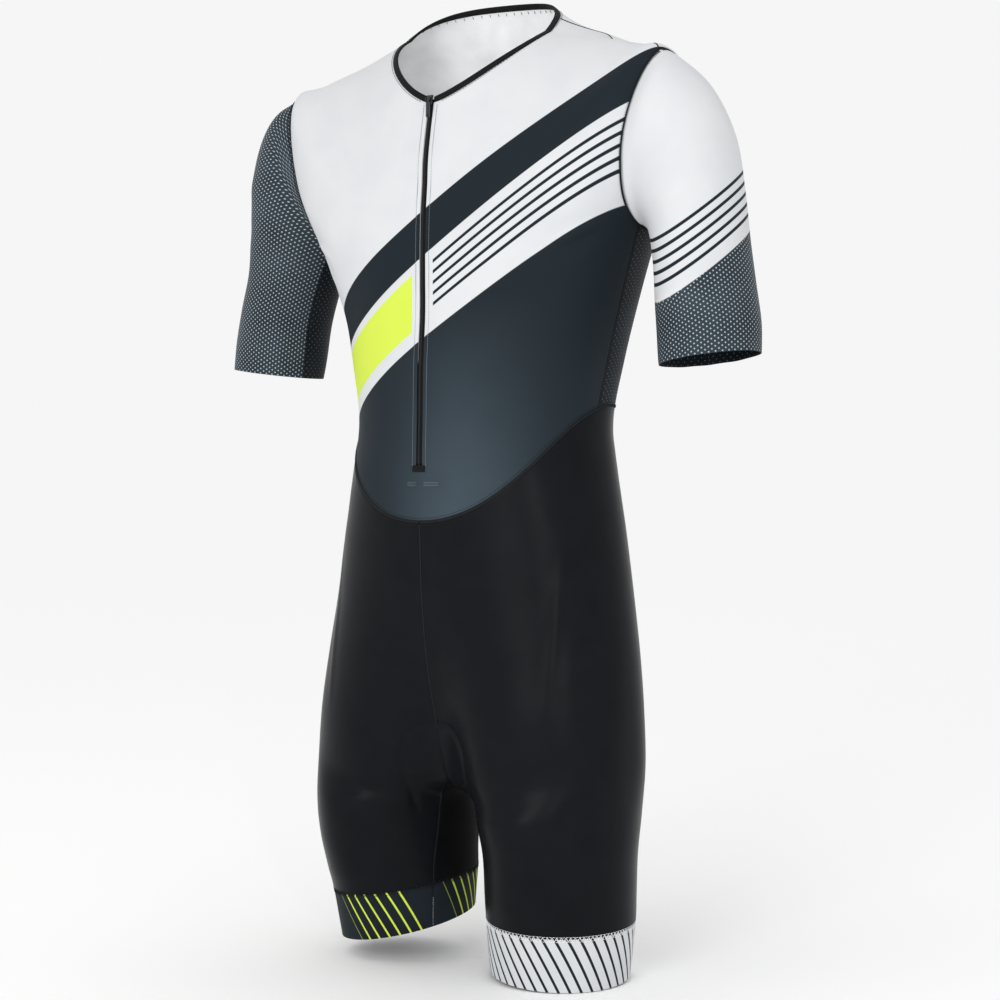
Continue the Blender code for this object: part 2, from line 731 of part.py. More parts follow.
def crotch_pad():
    """The stretch pad inside the shorts, one oval from front to seat."""
    spine = pad_spine()
    last = len(spine) - 1
    pairs = []
    for r in range(PAD_ROWS + 1):
        share = between(PAD_END, 1 - PAD_END, r / PAD_ROWS)
        t = share * last
        point = through(lambda k: spine[k], last, t)
        ahead = through(lambda k: spine[k], last, t + RING_STEP)
        behind = through(lambda k: spine[k], last, t - RING_STEP)
        along = (ahead - behind).normalized()
        inward = Vector((0, -along.z, along.y))
        half = PAD_HALF_WIDE * math.sqrt(1 - (2 * share - 1) ** PAD_SQUARE)
        row = []
        for c in range(PAD_COLUMNS + 1):
            across = 2 * c / PAD_COLUMNS - 1
            rise = between(PAD_EDGE, PAD_THICK, 1 - across**2)
            lift = WALL + PAD_CLEAR - PAD_CURL * across**2
            near = point + Vector((across * half, 0, 0)) + inward * lift
            row.append((near, inward * rise))
        pairs.append(row)
    return wall("crotch_pad", pairs, foam, thick=1.0)


def block(size, centre):
    """A box with rounded edges, in the slider's own frame."""
    bpy.ops.mesh.primitive_cube_add(size=1, location=centre)
    made = bpy.context.active_object
    made.scale = size
    bpy.ops.object.transform_apply(location=True, rotation=True, scale=True)
    rounding = made.modifiers.new("rounding", "BEVEL")
    rounding.width = SMALL_BEVEL
    rounding.segments = 1
    bpy.ops.object.modifier_apply(modifier=rounding.name)
    return made


def joined(name, pieces, place, coat):
    """The union of several blocks as one closed solid, set at a place."""
    whole = pieces[0]
    for piece in pieces[1:]:
        weld = whole.modifiers.new("union", "BOOLEAN")
        weld.operation = "UNION"
        weld.solver = "EXACT"
        weld.object = piece
        bpy.context.view_layer.objects.active = whole
        bpy.ops.object.modifier_apply(modifier=weld.name)
        bpy.data.objects.remove(piece)
    mesh = bmesh.new()
    mesh.from_mesh(whole.data)
    bpy.data.objects.remove(whole)
    made = finished(name, mesh, coat)
    made.matrix_world = place
    return made


def slider_and_pull():
    """The slider at the top of the zip, and its tab, which swings on a pin between two lugs."""
    neck = figure(0, 0, 1)
    slope = (figure(0, RING_STEP, 1) - neck).normalized()
    lean = math.atan2(slope.y, -slope.z)
    base = COIL_WALL + 2 * SEAM_GAP - TAPE_SUNK
    middle = neck + slope * (SLIDER_LONG / 2 - SLIDER_RISE)
    place = Matrix.Translation(middle) @ Matrix.Rotation(lean, 4, "X")
    pieces = [block((SLIDER_WIDE, SLIDER_HIGH, SLIDER_LONG), (0, -base - SLIDER_HIGH / 2, 0))]
    front = base + SLIDER_HIGH
    lug_x = PULL_WIDE / 2 + SEAM_GAP + LUG_THICK / 2
    for side in (-1, 1):
        size = (LUG_THICK, LUG_HIGH + SLIDER_HIGH / 2, LUG_LONG)
        centre = (side * lug_x, -front - LUG_HIGH / 2 + SLIDER_HIGH / 4, 0)
        pieces.append(block(size, centre))
    joined("zip_slider", pieces, place, metal)

    pivot = place @ Vector((0, -front - PIVOT_RISE, 0))
    bpy.ops.mesh.primitive_cylinder_add(vertices=16, radius=PIN_RADIUS, depth=PULL_WIDE)
    knuckle = bpy.context.active_object
    knuckle.data.transform(Matrix.Rotation(math.pi / 2, 4, "Y"))
    stem_long = LUG_LONG + PIN_RADIUS / 2
    stem_size = (PULL_WIDE - SMALL_BEVEL, PULL_THICK - SMALL_BEVEL / 2, stem_long)
    stem = block(stem_size, (0, 0, (PIN_RADIUS / 2 - LUG_LONG) / 2))
    tab_long = PULL_LONG - LUG_LONG
    tab_z = -LUG_LONG - tab_long / 2 + SMALL_BEVEL
    tab = block((PULL_TAB_WIDE, PULL_THICK, tab_long), (0, 0, tab_z))
    joined("zip_pull", [tab, stem, knuckle], Matrix.Translation(pivot), metal)


def main():
    front_panel()
    back_panel()
    for side, word in ((1, "left"), (-1, "right")):
        side_panel(side, "side_panel_" + word)
        over = armhole_turns("back")[::-1] + armhole_turns("front")[1:]
        sleeve_panel("sleeve_" + word, side, over)
        sleeve_panel("under_sleeve_" + word, side, armhole_turns("side"))
        shorts_panel("shorts_" + word, side)
        inner_leg("inner_leg_" + word, side)
        leg_band("leg_band_" + word, side)
    neck_binding()
    zip_parts()
    slider_and_pull()
    crotch_pad()


for old in list(bpy.data.objects):
    bpy.data.objects.remove(old)

suit = bpy.data.collections.new("triathlon_suit")
bpy.context.scene.collection.children.link(suit)

white = finish("white_knit", WHITE_KNIT, 0.6)
black = finish("black_knit", BLACK_KNIT, 0.5)
mesh_knit = finish("slate_mesh", SLATE_MESH, 0.65)
trim = finish("black_trim", BLACK_TRIM, 0.5)
foam = finish("pad_foam", PAD_FOAM, 0.8)
metal = finish("black_metal", BLACK_TRIM, 0.35, 0.6)

SIDE_TOP_ROW = SHOULDER_ROWS + ARMHOLE_ROWS
SIDE_TOP_RING = armhole_place(armhole_turn_at(SIDE_SEAM_FRONT, True))[1]
SIDE_SHARES = side_shares()

main()
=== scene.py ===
# %% [markdown]
# # Dressing a triathlon suit
# The solid model of the suit is loaded as a fixed frame: every panel, the neck binding and the
# zip are already in place as plain walls. This lesson dresses them. It makes each cloth panel
# again as a fine, thin shell, gives it folds and seams, sews it with thread, builds the zip's
# teeth, and finishes with knit, mesh and print materials. Metres, +Z up, front towards -Y, the
# wearer's left towards +X.

# %% Load the frame
import json
import math
from functools import partial

import bmesh
import bpy
import mathutils
import numpy as np
from mathutils import Matrix, Vector


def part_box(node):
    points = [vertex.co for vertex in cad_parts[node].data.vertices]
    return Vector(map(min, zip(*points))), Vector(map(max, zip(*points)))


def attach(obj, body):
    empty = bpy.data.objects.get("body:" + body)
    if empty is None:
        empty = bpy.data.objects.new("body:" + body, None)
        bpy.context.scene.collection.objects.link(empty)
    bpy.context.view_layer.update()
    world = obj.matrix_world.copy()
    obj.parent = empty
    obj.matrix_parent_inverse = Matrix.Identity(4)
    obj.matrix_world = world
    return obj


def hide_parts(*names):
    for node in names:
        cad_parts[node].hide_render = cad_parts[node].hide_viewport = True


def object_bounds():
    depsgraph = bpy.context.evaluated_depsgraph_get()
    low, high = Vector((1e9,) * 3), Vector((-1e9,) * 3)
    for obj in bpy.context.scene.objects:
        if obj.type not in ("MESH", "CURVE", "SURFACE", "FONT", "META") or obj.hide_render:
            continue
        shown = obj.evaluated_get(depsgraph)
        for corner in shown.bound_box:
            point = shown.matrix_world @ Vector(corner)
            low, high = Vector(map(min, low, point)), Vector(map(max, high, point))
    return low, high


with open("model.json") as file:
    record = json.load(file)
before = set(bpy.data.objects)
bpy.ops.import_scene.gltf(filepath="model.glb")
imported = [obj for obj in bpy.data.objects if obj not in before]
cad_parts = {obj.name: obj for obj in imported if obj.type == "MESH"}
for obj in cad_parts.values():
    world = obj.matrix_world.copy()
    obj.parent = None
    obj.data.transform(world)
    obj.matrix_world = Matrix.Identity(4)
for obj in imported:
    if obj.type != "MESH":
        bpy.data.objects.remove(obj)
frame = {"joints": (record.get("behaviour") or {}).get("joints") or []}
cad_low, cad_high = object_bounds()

print("solid model from", [round(v, 3) for v in cad_low], "to", [round(v, 3) for v in cad_high])

# %% [markdown]
# ## The camera
# A tall, slim object is best seen through a long lens from far off, so that its near side
# doesn't swell. The camera stands level with the suit's middle, a third of the way round to the
# wearer's left. A small lens shift frames the suit without tilting the camera, which keeps
# upright lines upright.

# %% Camera
CAMERA_TURN = math.radians(36)
CAMERA_FAR, CAMERA_HEIGHT = 2.0, -0.4395
CAMERA_LENS, SENSOR_WIDE = 74.88, 36  # millimetres
CAMERA_SHIFT = (0.012, -0.033)


def linked(name, data):
    """A new object of the scene that shows some data."""
    made = bpy.data.objects.new(name, data)
    bpy.context.scene.collection.objects.link(made)
    return made


camera_data = bpy.data.cameras.new("camera")
camera_data.lens, camera_data.sensor_width = CAMERA_LENS, SENSOR_WIDE
camera_data.shift_x, camera_data.shift_y = CAMERA_SHIFT
camera = linked("camera", camera_data)
camera.location = (
    CAMERA_FAR * math.sin(CAMERA_TURN),
    -CAMERA_FAR * math.cos(CAMERA_TURN),
    CAMERA_HEIGHT,
)
camera.rotation_euler = (math.pi / 2, 0, CAMERA_TURN)
bpy.context.scene.camera = camera
bpy.context.scene.view_settings.view_transform = "Standard"
print("camera at", [round(v, 3) for v in camera.location])

# %% [markdown]
# ## The figure as numbers
# A garment on a wearer is close to a stack of closed curves. Each curve, or ring, is given by a
# few sizes: its height at the front, side and back, its half width, and how far it reaches
# forward and back. Between the rings a smooth curve fills in the rest. The solid model was made
# from the same rings, so a shell made from them lies exactly on it.

# %% Rings of the body and legs
TORSO = np.array(
    (
        # z_front, z_side, z_back, half_width, y_side, y_front, y_back, square, cleft
        (-0.103, -0.029, 0.008, 0.085, -0.018, -0.090, 0.050, 2.0, 0.000),  # neck seam
        (-0.150, -0.042, -0.062, 0.135, -0.014, -0.098, 0.085, 2.0, 0.000),  # mid shoulder
        (-0.180, -0.054, -0.105, 0.178, -0.021, -0.100, 0.100, 2.1, 0.000),
        (-0.205, -0.066, -0.140, 0.213, -0.027, -0.102, 0.108, 2.2, 0.000),  # shoulder tip
        (-0.235, -0.137, -0.180, 0.210, -0.018, -0.103, 0.112, 2.2, 0.000),
        (-0.262, -0.222, -0.228, 0.176, -0.006, -0.103, 0.114, 2.2, 0.000),  # armpit
        (-0.300, -0.285, -0.285, 0.154, 0.000, -0.103, 0.110, 2.1, 0.000),
        (-0.345, -0.340, -0.340, 0.140, 0.000, -0.106, 0.098, 2.1, 0.000),
        (-0.395, -0.395, -0.395, 0.130, -0.002, -0.107, 0.090, 2.1, 0.000),  # waist
        (-0.445, -0.445, -0.445, 0.137, -0.005, -0.108, 0.090, 2.1, 0.000),
        (-0.500, -0.500, -0.500, 0.147, -0.008, -0.107, 0.094, 2.1, 0.000),
        (-0.560, -0.560, -0.560, 0.156, -0.010, -0.108, 0.098, 2.1, 0.004),
        (-0.620, -0.615, -0.620, 0.164, -0.013, -0.110, 0.094, 2.2, 0.014),  # hips
        (-0.680, -0.665, -0.675, 0.169, -0.015, -0.113, 0.086, 2.35, 0.032),
        (-0.728, -0.715, -0.725, 0.1705, -0.016, -0.113, 0.080, 2.5, 0.047),  # crotch
    )
).T
(
    Z_FRONT, Z_SIDE, Z_BACK, HALF_WIDTH, Y_SIDE, Y_FRONT, Y_BACK, SQUARE, CLEFT,
) = TORSO
LEG = np.array(
    (
        # drop, x, y, half_x, half_y, seam, skew, swell
        (0.20, 0.0945, -0.016, 0.0740, 0.0835, 71.0, 0.002, 0.010),
        (0.40, 0.0945, -0.014, 0.0720, 0.0780, 66.0, 0.006, 0.011),
        (0.60, 0.0930, -0.012, 0.0705, 0.0737, 62.0, 0.003, 0.008),
        (0.74, 0.0915, -0.010, 0.0695, 0.0708, 60.0, 0.001, 0.004),  # band seam
        (1.00, 0.0895, -0.009, 0.0655, 0.0655, 59.0, 0.000, 0.000),  # hem
    )
).T
DROP, LEG_X, LEG_Y, LEG_HALF_X, LEG_HALF_Y, INNER_SEAM, SKEW, SWELL = LEG
SLEEVE = np.array(
    (
        # over_x, over_y, over_z, under_x, under_y, under_z, half_y
        (0.229, -0.025, -0.077, 0.182, 0.006, -0.225, 0.0560),
        (0.252, -0.021, -0.100, 0.188, 0.005, -0.230, 0.0560),
        (0.270, -0.015, -0.140, 0.192, 0.003, -0.238, 0.0545),
        (0.277, -0.010, -0.190, 0.196, -0.001, -0.251, 0.0525),
        (0.282, -0.008, -0.235, 0.200, -0.006, -0.270, 0.0505),
        (0.290, -0.011, -0.275, 0.2035, -0.011, -0.296, 0.0495),
        (0.297, -0.013, -0.310, 0.206, -0.013, -0.324, 0.0480),
        (0.299, -0.015, -0.338, 0.209, -0.015, -0.350, 0.0455),  # cuff
    )
)
CROTCH = len(Z_FRONT) - 1
BAND_SEAM = CROTCH + len(DROP) - 1
HEM = CROTCH + len(DROP)
print("rings:", CROTCH + 1, "of the body,", len(DROP), "of each leg,", len(SLEEVE), "of a sleeve")

# %% Sizes that place the seams
SHOULDER_SEAM, SIDE_SEAM_FRONT, SIDE_SEAM_BACK = 110.0, 88.0, 119.0
NECK_ROLL, NECK_VEE, NECK_RINGS = 0.005, 0.021, 3
ARMHOLE_TOP = {"ring": 3.0, "angle": 86.0}
ARMHOLE_LOW = {"ring": 5.0, "angle": 97.0}
ARMHOLE_SPREAD = 29.0
WAIST_FRONT_Z, WAIST_SIDE_Z, WAIST_LEVEL_FROM = -0.490, -0.382, 99.0
SLIT_HALF, ZIP_FOOT_Z = 0.0034, -0.438
CLEFT_HALF, CENTRE_HOLD, CROTCH_DROP, LEG_TOP_Z = 0.050, 60.0, 0.018, -0.722
LEG_HEMS = {1: (-0.909, 0.005, 50.0), -1: (-0.882, 0.015, 47.0)}  # height, lean, low_at


# %% Points of the figure
def between(a, b, share):
    return a + (b - a) * share


def through(point_at, last, t):
    """A smooth curve through numbered points, at every t of an array."""
    t = np.clip(t, 0.0, float(last))
    i = np.minimum(t.astype(int), last - 1)
    f = (t - i)[..., None]
    before, start = point_at(np.maximum(i - 1, 0)), point_at(i)
    end, after = point_at(i + 1), point_at(np.minimum(i + 2, last))
    return 0.5 * (
        2 * start
        + (end - before) * f
        + (2 * before - 5 * start + 4 * end - after) * f**2
        + (3 * start - before - 3 * end + after) * f**3
    )


def torso_ring(angle, k, side):
    """Points of body rings k: 0 degrees is the centre front, 180 the centre back."""
    k = np.minimum(k, CROTCH)
    sine, cosine = np.sin(np.radians(angle)), np.cos(np.radians(angle))
    power = 2 / SQUARE[k]
    x = HALF_WIDTH[k] * np.sign(sine) * np.abs(sine) ** power
    reach = np.where(cosine > 0, Y_FRONT[k], Y_BACK[k]) - Y_SIDE[k]
    hollow = CLEFT[k] * np.exp(-((x / CLEFT_HALF) ** 2))
    y = Y_SIDE[k] + reach * np.abs(cosine) ** power + np.where(cosine > 0, hollow, -hollow)
    middle = (Z_FRONT[k] + Z_BACK[k]) / 2
    z = middle + (Z_FRONT[k] - middle) * cosine + (Z_SIDE[k] - middle) * sine**2
    fade = np.maximum(0, 1 - k / NECK_RINGS) ** 2
    rise = NECK_VEE * np.abs(sine) * np.maximum(cosine, 0) - side * NECK_ROLL * sine
    return np.stack((x, y, z + fade * rise), axis=-1)


def leg_ring(angle, k, side):
    """Points of leg rings k, drawn as a left leg; above 180 degrees is the inner panel."""
    k = np.clip(k, 0, len(DROP) - 1)
    seam = INNER_SEAM[k]
    outer = -seam + angle * (180 + 2 * seam) / 180
    inner = 180 + seam + (angle - 180) * (180 - 2 * seam) / 180
    turn = np.radians(np.where(angle <= 180, outer, inner))
    height, lean, low_at = LEG_HEMS[side]
    x = LEG_X[k] + LEG_HALF_X[k] * np.sin(turn)
    y = LEG_Y[k] - LEG_HALF_Y[k] * np.cos(turn) - SKEW[k] * np.sin(turn)
    y -= SWELL[k] * np.maximum(np.cos(turn), 0) ** 3
    z = between(LEG_TOP_Z, height - lean * np.cos(turn - math.radians(low_at)), DROP[k])
    return np.stack((x, y, z), axis=-1)


def centre_seam(angle, k, side):
    """From the centre back ring point, at 180 degrees, straight to the front one, at 360."""
    share = ((angle - 180) / 180)[..., None]
    return between(torso_ring(0 * angle + 180, k, side), torso_ring(0 * angle, k, side), share)


def figure_ring(angle, k, side):
    """Points of any ring: of the body down to the crotch, and of one leg below it."""
    torso = torso_ring(angle, k, side)
    sag = np.sin(np.pi * (angle - 180) / 180)
    crotch = centre_seam(angle, k, side)
    crotch[..., 0] = 0
    crotch[..., 2] -= CROTCH_DROP * sag
    mirrored = leg_ring(angle, k * 0, side) * (-1, 1, 1)
    above = between(centre_seam(angle, k, side), mirrored, sag[..., None])
    inner = (angle > 180)[..., None]
    k3 = k[..., None]
    point = np.where(inner & (k3 == CROTCH), crotch, torso)
    point = np.where(inner & (k3 == CROTCH - 1), above, point)
    return np.where(k3 > CROTCH, leg_ring(angle, k - CROTCH - 1, side), point)


def body_ring(angle, k, side):
    """A ring as the body above the crotch sees it: its centre seams keep to the middle."""
    point = figure_ring(angle, k, side)
    near = np.clip(1 - np.minimum(angle, 180 - angle) / CENTRE_HOLD, 0, 1)
    hold = leg_ring(0 * angle, k * 0, side)[..., 0] * near**2
    point[..., 0] -= np.where(k > CROTCH, hold, 0)
    return point


def figure(angle, t, half, on_leg=None):
    """Points of the suit's outside on one half: half is 1 for the wearer's left, -1 for right."""
    angle, t = np.broadcast_arrays(np.asarray(angle, float), np.asarray(t, float))
    angle = np.mod(angle, 360)
    body = through(lambda k: body_ring(np.minimum(angle, 180), k, half), HEM, t)
    leg = through(lambda k: figure_ring(angle, k, half), HEM, t)
    low = t >= CROTCH if on_leg is None else on_leg
    return np.where(np.broadcast_to(low, t.shape)[..., None], leg, body) * (half, 1, 1)


check = figure(np.array([0.0, 90.0, 180.0]), np.array([8.0, 8.0, 8.0]), 1)
print("waist ring at front, side, back:", np.round(check, 3).tolist())

# %% [markdown]
# ## The sleeve and the seam lines
# A set-in sleeve starts at the armhole, a closed curve on the body, and then runs down the arm
# as a second stack of rings. Seams are lines on these two surfaces: an angle round the body for
# a side seam, and a height that changes with the angle for the waist seam.


# %% Sleeve surface and seam places
def armhole_place(turn):
    """Angle and ring of the armhole: turn is 0 at its top, 90 at its front, 180 at its foot."""
    turn = np.radians(turn)
    share = (1 - np.cos(turn)) / 2
    ring = between(ARMHOLE_TOP["ring"], ARMHOLE_LOW["ring"], share)
    middle = between(ARMHOLE_TOP["angle"], ARMHOLE_LOW["angle"], share)
    return middle - ARMHOLE_SPREAD * np.sin(turn), ring


def sleeve_ring(turn, k):
    row = SLEEVE[np.clip(k - 1, 0, len(SLEEVE) - 1)]
    over, under, turn_r = row[..., 0:3], row[..., 3:6], np.radians(turn)
    point = (over + under) / 2 + np.cos(turn_r)[..., None] * (over - under) / 2
    point[..., 1] -= row[..., 6] * np.sin(turn_r)
    armhole = figure(*armhole_place(turn), 1)
    return np.where((k == 0)[..., None], armhole, point)


def sleeve(turn, s, side):
    """Points of a sleeve's outside: turn goes round the arm, s from the armhole to the cuff."""
    turn, s = np.broadcast_arrays(np.asarray(turn, float), np.asarray(s, float))
    return through(lambda k: sleeve_ring(turn, k), len(SLEEVE), s) * (side, 1, 1)


def halving(low, high, below):
    """The place between low and high where below() stops being true, at every point."""
    for _ in range(30):
        middle = (low + high) / 2
        here = below(middle)
        low, high = np.where(here, middle, low), np.where(here, high, middle)
    return low


def ring_at_height(angle, z):
    angle, z = np.broadcast_arrays(np.asarray(angle, float), np.asarray(z, float))
    start = np.zeros(angle.shape)
    return halving(start, start + HEM, lambda t: figure(angle, t, 1)[..., 2] > z)


def waist_ring(angle):
    share = np.cos(np.radians(np.minimum(angle, WAIST_LEVEL_FROM) * 90 / WAIST_LEVEL_FROM)) ** 2
    return ring_at_height(angle, between(WAIST_SIDE_Z, WAIST_FRONT_Z, share))


def angle_at_x(t, x):
    t, x = np.broadcast_arrays(np.asarray(t, float), np.asarray(x, float))
    start = np.zeros(t.shape)
    return halving(start, start + 45, lambda a: figure(a, t, 1)[..., 0] < x)


FRONT_TURN = float(halving(90.0, 180.0, lambda q: armhole_place(q)[0] < SIDE_SEAM_FRONT))
BACK_TURN = float(halving(270.0, 180.0, lambda q: armhole_place(q)[0] > SIDE_SEAM_BACK))
SIDE_TOP = float(armhole_place(FRONT_TURN)[1])
SIDE_TOP_BACK = float(armhole_place(BACK_TURN)[1])
ZIP_FOOT = float(ring_at_height(0, ZIP_FOOT_Z))
print("side seams meet the armhole at turns", round(FRONT_TURN, 1), round(BACK_TURN, 1))

# %% [markdown]
# ## Folds
# Stretch cloth lies smooth on the body and only folds where the body bends or where a tube is
# set into another: at the front of the armpit, inside the elbow, over the waist seam, at the
# crotch and under the seat. Each fold is a soft ridge along a short line, or a trough. It is
# deepest near its middle and fades towards both ends. The lengths, depths and distances are
# uneven, as gathered cloth makes them. Both sides get the same kinds, drawn for the wearer's
# left and mirrored, but no two groups are alike.

# %% Fold lines
FOLDS = []
FOLD_GROUPS = (
    # first and last start, first and last end, then how many, how wide and how deep
    # drag lines from the front and back of the armpit towards the chest and the shoulder blade
    ((0.165, -0.055, -0.205), (0.160, -0.045, -0.262),
     (0.120, -0.100, -0.238), (0.128, -0.085, -0.300), 4, 0.0062, 0.0024),
    ((0.168, 0.060, -0.200), (0.158, 0.060, -0.268),
     (0.118, 0.108, -0.226), (0.120, 0.095, -0.300), 4, 0.0064, 0.0024),
    # short wrinkles across the waist seam, at the side and further back
    ((0.138, -0.020, -0.396), (0.150, -0.022, -0.482),
     (0.118, -0.072, -0.408), (0.132, -0.078, -0.492), 5, 0.0048, 0.0015),
    ((0.136, 0.020, -0.398), (0.148, 0.030, -0.470),
     (0.100, 0.080, -0.402), (0.112, 0.084, -0.478), 5, 0.0050, 0.0019),
    # the elbow line of each sleeve, in front and behind
    ((0.196, -0.050, -0.252), (0.214, -0.052, -0.318),
     (0.248, -0.068, -0.238), (0.262, -0.058, -0.300), 4, 0.0058, 0.0020),
    ((0.200, 0.040, -0.250), (0.214, 0.036, -0.312),
     (0.250, 0.045, -0.240), (0.262, 0.036, -0.296), 4, 0.0058, 0.0021),
    # a faint fan from the crotch over the front of the thigh, and a deeper one under the seat
    ((0.016, -0.096, -0.722), (0.040, -0.108, -0.764),
     (0.070, -0.122, -0.690), (0.100, -0.108, -0.758), 4, 0.0080, 0.0005),
    ((0.014, 0.060, -0.700), (0.035, 0.066, -0.760),
     (0.072, 0.082, -0.704), (0.110, 0.062, -0.762), 4, 0.0068, 0.0024),
)
SINGLE_FOLDS = (
    # start, end, bow, then how wide and how deep
    # two broad soft waves across the sleeve above the elbow, and a shorter one behind
    ((0.196, -0.042, -0.196), (0.262, -0.050, -0.150), (0.004, -0.006, 0.004), 0.012, 0.0022),
    ((0.196, -0.048, -0.226), (0.270, -0.046, -0.196), (0.002, -0.008, -0.004), 0.010, -0.0020),
    ((0.200, 0.040, -0.214), (0.264, 0.034, -0.170), (0.002, 0.008, 0.003), 0.011, 0.0021),
    # the long soft ridge where the thigh muscle carries the cloth, which catches the light
    ((0.1290, -0.0600, -0.512), (0.1245, -0.0880, -0.672), (0.0015, -0.0020, 0), 0.0060, 0.0010),
)
FIRST_SEED = 40


def mirrored(places, side):
    """Places drawn on the wearer's left, for the left (1) or the right (-1)."""
    return [np.array(place) * (side, 1, 1) for place in places]


def fold(a, b, width, depth, bow):
    """A soft ridge (or a trough, where depth is negative) from one point to another."""
    share = np.linspace(0, 1, 9)[:, None]
    line = between(a, b, share) + np.array(bow) * 4 * share * (1 - share)
    FOLDS.append((line, width, depth))


def fold_group(starts, ends, count, width, depth, seed):
    """Neighbouring folds fanned between two lines of starts and ends, each a bit different."""
    random = np.random.default_rng(seed)
    for i in range(count):
        share = (i + 0.5 + random.uniform(-0.28, 0.28)) / count
        a, b = between(*starts, share), between(*ends, share)
        reach = random.uniform(0.65, 1.1)
        sign = -1 if i % 2 else 1
        droop = (0, 0, random.uniform(-0.006, 0.004))
        wide, deep = width * random.uniform(0.7, 1.3), sign * depth * random.uniform(0.6, 1.2)
        fold(between(b, a, reach), b, wide, deep, droop)


for side in (1, -1):
    for i, (*places, count, width, depth) in enumerate(FOLD_GROUPS):
        places = mirrored(places, side)
        fold_group(places[:2], places[2:], count, width, depth, FIRST_SEED + side + 2 * i)
    for *places, width, depth in SINGLE_FOLDS:
        a, b, bow = mirrored(places, side)
        fold(a, b, width, depth, bow)
print("folds:", len(FOLDS))

# %% [markdown]
# ## How far the cloth lies off the figure
# The folds lift the cloth off the smooth figure. Over the last few centimetres before the top of
# the armhole it does the reverse: with no shoulder to fill it, the cloth sinks a little, so there
# it lies flatter than the round figure.

# %% Relief of the cloth
SIDE_DIP = 0.35  # how deep a fold's soft hollows are, beside its ridge
SETTLE_DEPTH, SETTLE_WIDTH = 0.0078, 0.0115
SETTLE_INWARD, SETTLE_DOWN = 0.5, 0.866
SETTLE_LINE = np.array((
    (0.150, 0.003, -0.043), (0.172, -0.005, -0.050), (0.198, -0.019, -0.0555),
    (0.204, -0.005, -0.0558), (0.206, 0.008, -0.062),
))


def near_line(points, line):
    """Distance from each point to a drawn line, and how far along the line it is, 0 to 1."""
    best = np.full(len(points), 9.0)
    along = np.zeros(len(points))
    for i, (a, b) in enumerate(zip(line, line[1:])):
        step = b - a
        share = np.clip((points - a) @ step / (step @ step), 0, 1)
        distance = np.linalg.norm(points - a - share[:, None] * step, axis=1)
        nearer = distance < best
        best = np.where(nearer, distance, best)
        along = np.where(nearer, (i + share) / (len(line) - 1), along)
    return best, along


def relief(points):
    """How far the folds lift each point off the smooth figure."""
    lift = np.zeros(len(points))
    for line, width, depth in FOLDS:
        middle, reach = line.mean(axis=0), np.ptp(line, axis=0).max() / 2 + 4 * width
        close = np.flatnonzero(np.abs(points - middle).max(axis=1) < reach + 0.02)
        if not len(close):
            continue
        distance, along = near_line(points[close], line)
        swell = np.clip(4 * along * (1 - along), 0, 1) ** 0.75
        far = distance / width
        profile = np.exp(-(far**2)) - SIDE_DIP * np.exp(-((far / 2) ** 2))
        lift[close] += depth * swell * profile
    return lift


def settled(points):
    """The same points, let down where the cloth settles beside the tops of the armholes."""
    flat = points.reshape(-1, 3).copy()
    for side in (1, -1):
        distance, _ = near_line(flat, SETTLE_LINE * (side, 1, 1))
        drop = SETTLE_DEPTH * np.exp(-((distance / SETTLE_WIDTH) ** 2))
        flat -= drop[:, None] * (side * SETTLE_INWARD, 0, SETTLE_DOWN)
    return flat.reshape(points.shape)


check = np.array(((0.198, -0.019, -0.0555), (0.0, -0.1, -0.3)))
print("settled by:", np.round(check[:, 2] - settled(check)[:, 2], 4).tolist())

# %% [markdown]
# ## Panels as thin shells
# Each pattern piece is drawn as a grid of points on its surface. The grid is about 3 mm fine,
# and finer along its edges. The outer skin follows the figure and the folds, and dips where it
# turns into a seam. The inner skin lies a cloth's thickness inside. A shell like this has a true
# edge at the hem and the neck, which a single sheet wouldn't show.

# %% Shell builder
CLOTH = 0.0009
TUCK_DEPTH, TUCK_WIDTH = 0.00055, 0.0012
GRID_STEP = 0.0032
EDGE_STEPS = (0.0006, 0.0013, 0.0022)


def marks(length, step=GRID_STEP, start=True, end=True, between_too=()):
    """Shares along a panel: even steps, finer ones beside its seams and in the given spans."""
    shares = list(np.linspace(0, 1, max(2, round(length / step)) + 1))
    fine = [e / length for e in EDGE_STEPS]
    shares = [s for s in shares if s == 0 or fine[-1] * 1.3 < s or not start]
    shares = [s for s in shares if s == 1 or s < 1 - fine[-1] * 1.3 or not end]
    for low, high in between_too:
        inside = [s for s in shares if low <= s <= high]
        shares += [(a + b) / 2 for a, b in zip(inside, inside[1:])]
    shares += fine if start else []
    shares += [1 - f for f in fine] if end else []
    return np.array(sorted(set(shares)))


def unit(v):
    return v / np.maximum(np.linalg.norm(v, axis=-1, keepdims=True), 1e-12)


def grid_normals(points):
    """The way out of a grid whose rows run down and whose columns run from right to left."""
    return unit(np.cross(np.gradient(points, axis=0), np.gradient(points, axis=1)))


def lengths(points, axis):
    """Distance walked along a grid's rows or columns."""
    steps = np.linalg.norm(np.diff(points, axis=axis), axis=-1)
    start = np.zeros_like(np.take(points[..., 0], [0], axis=axis))
    return np.concatenate((start, np.cumsum(steps, axis=axis)), axis=axis)


def edge_distance(places, edge_places):
    """Distance from each place to the nearest of the edge places."""
    tree = mathutils.kdtree.KDTree(len(edge_places))
    for i, place in enumerate(edge_places):
        tree.insert(place, i)
    tree.balance()
    return np.array([tree.find(place)[2] for place in places])


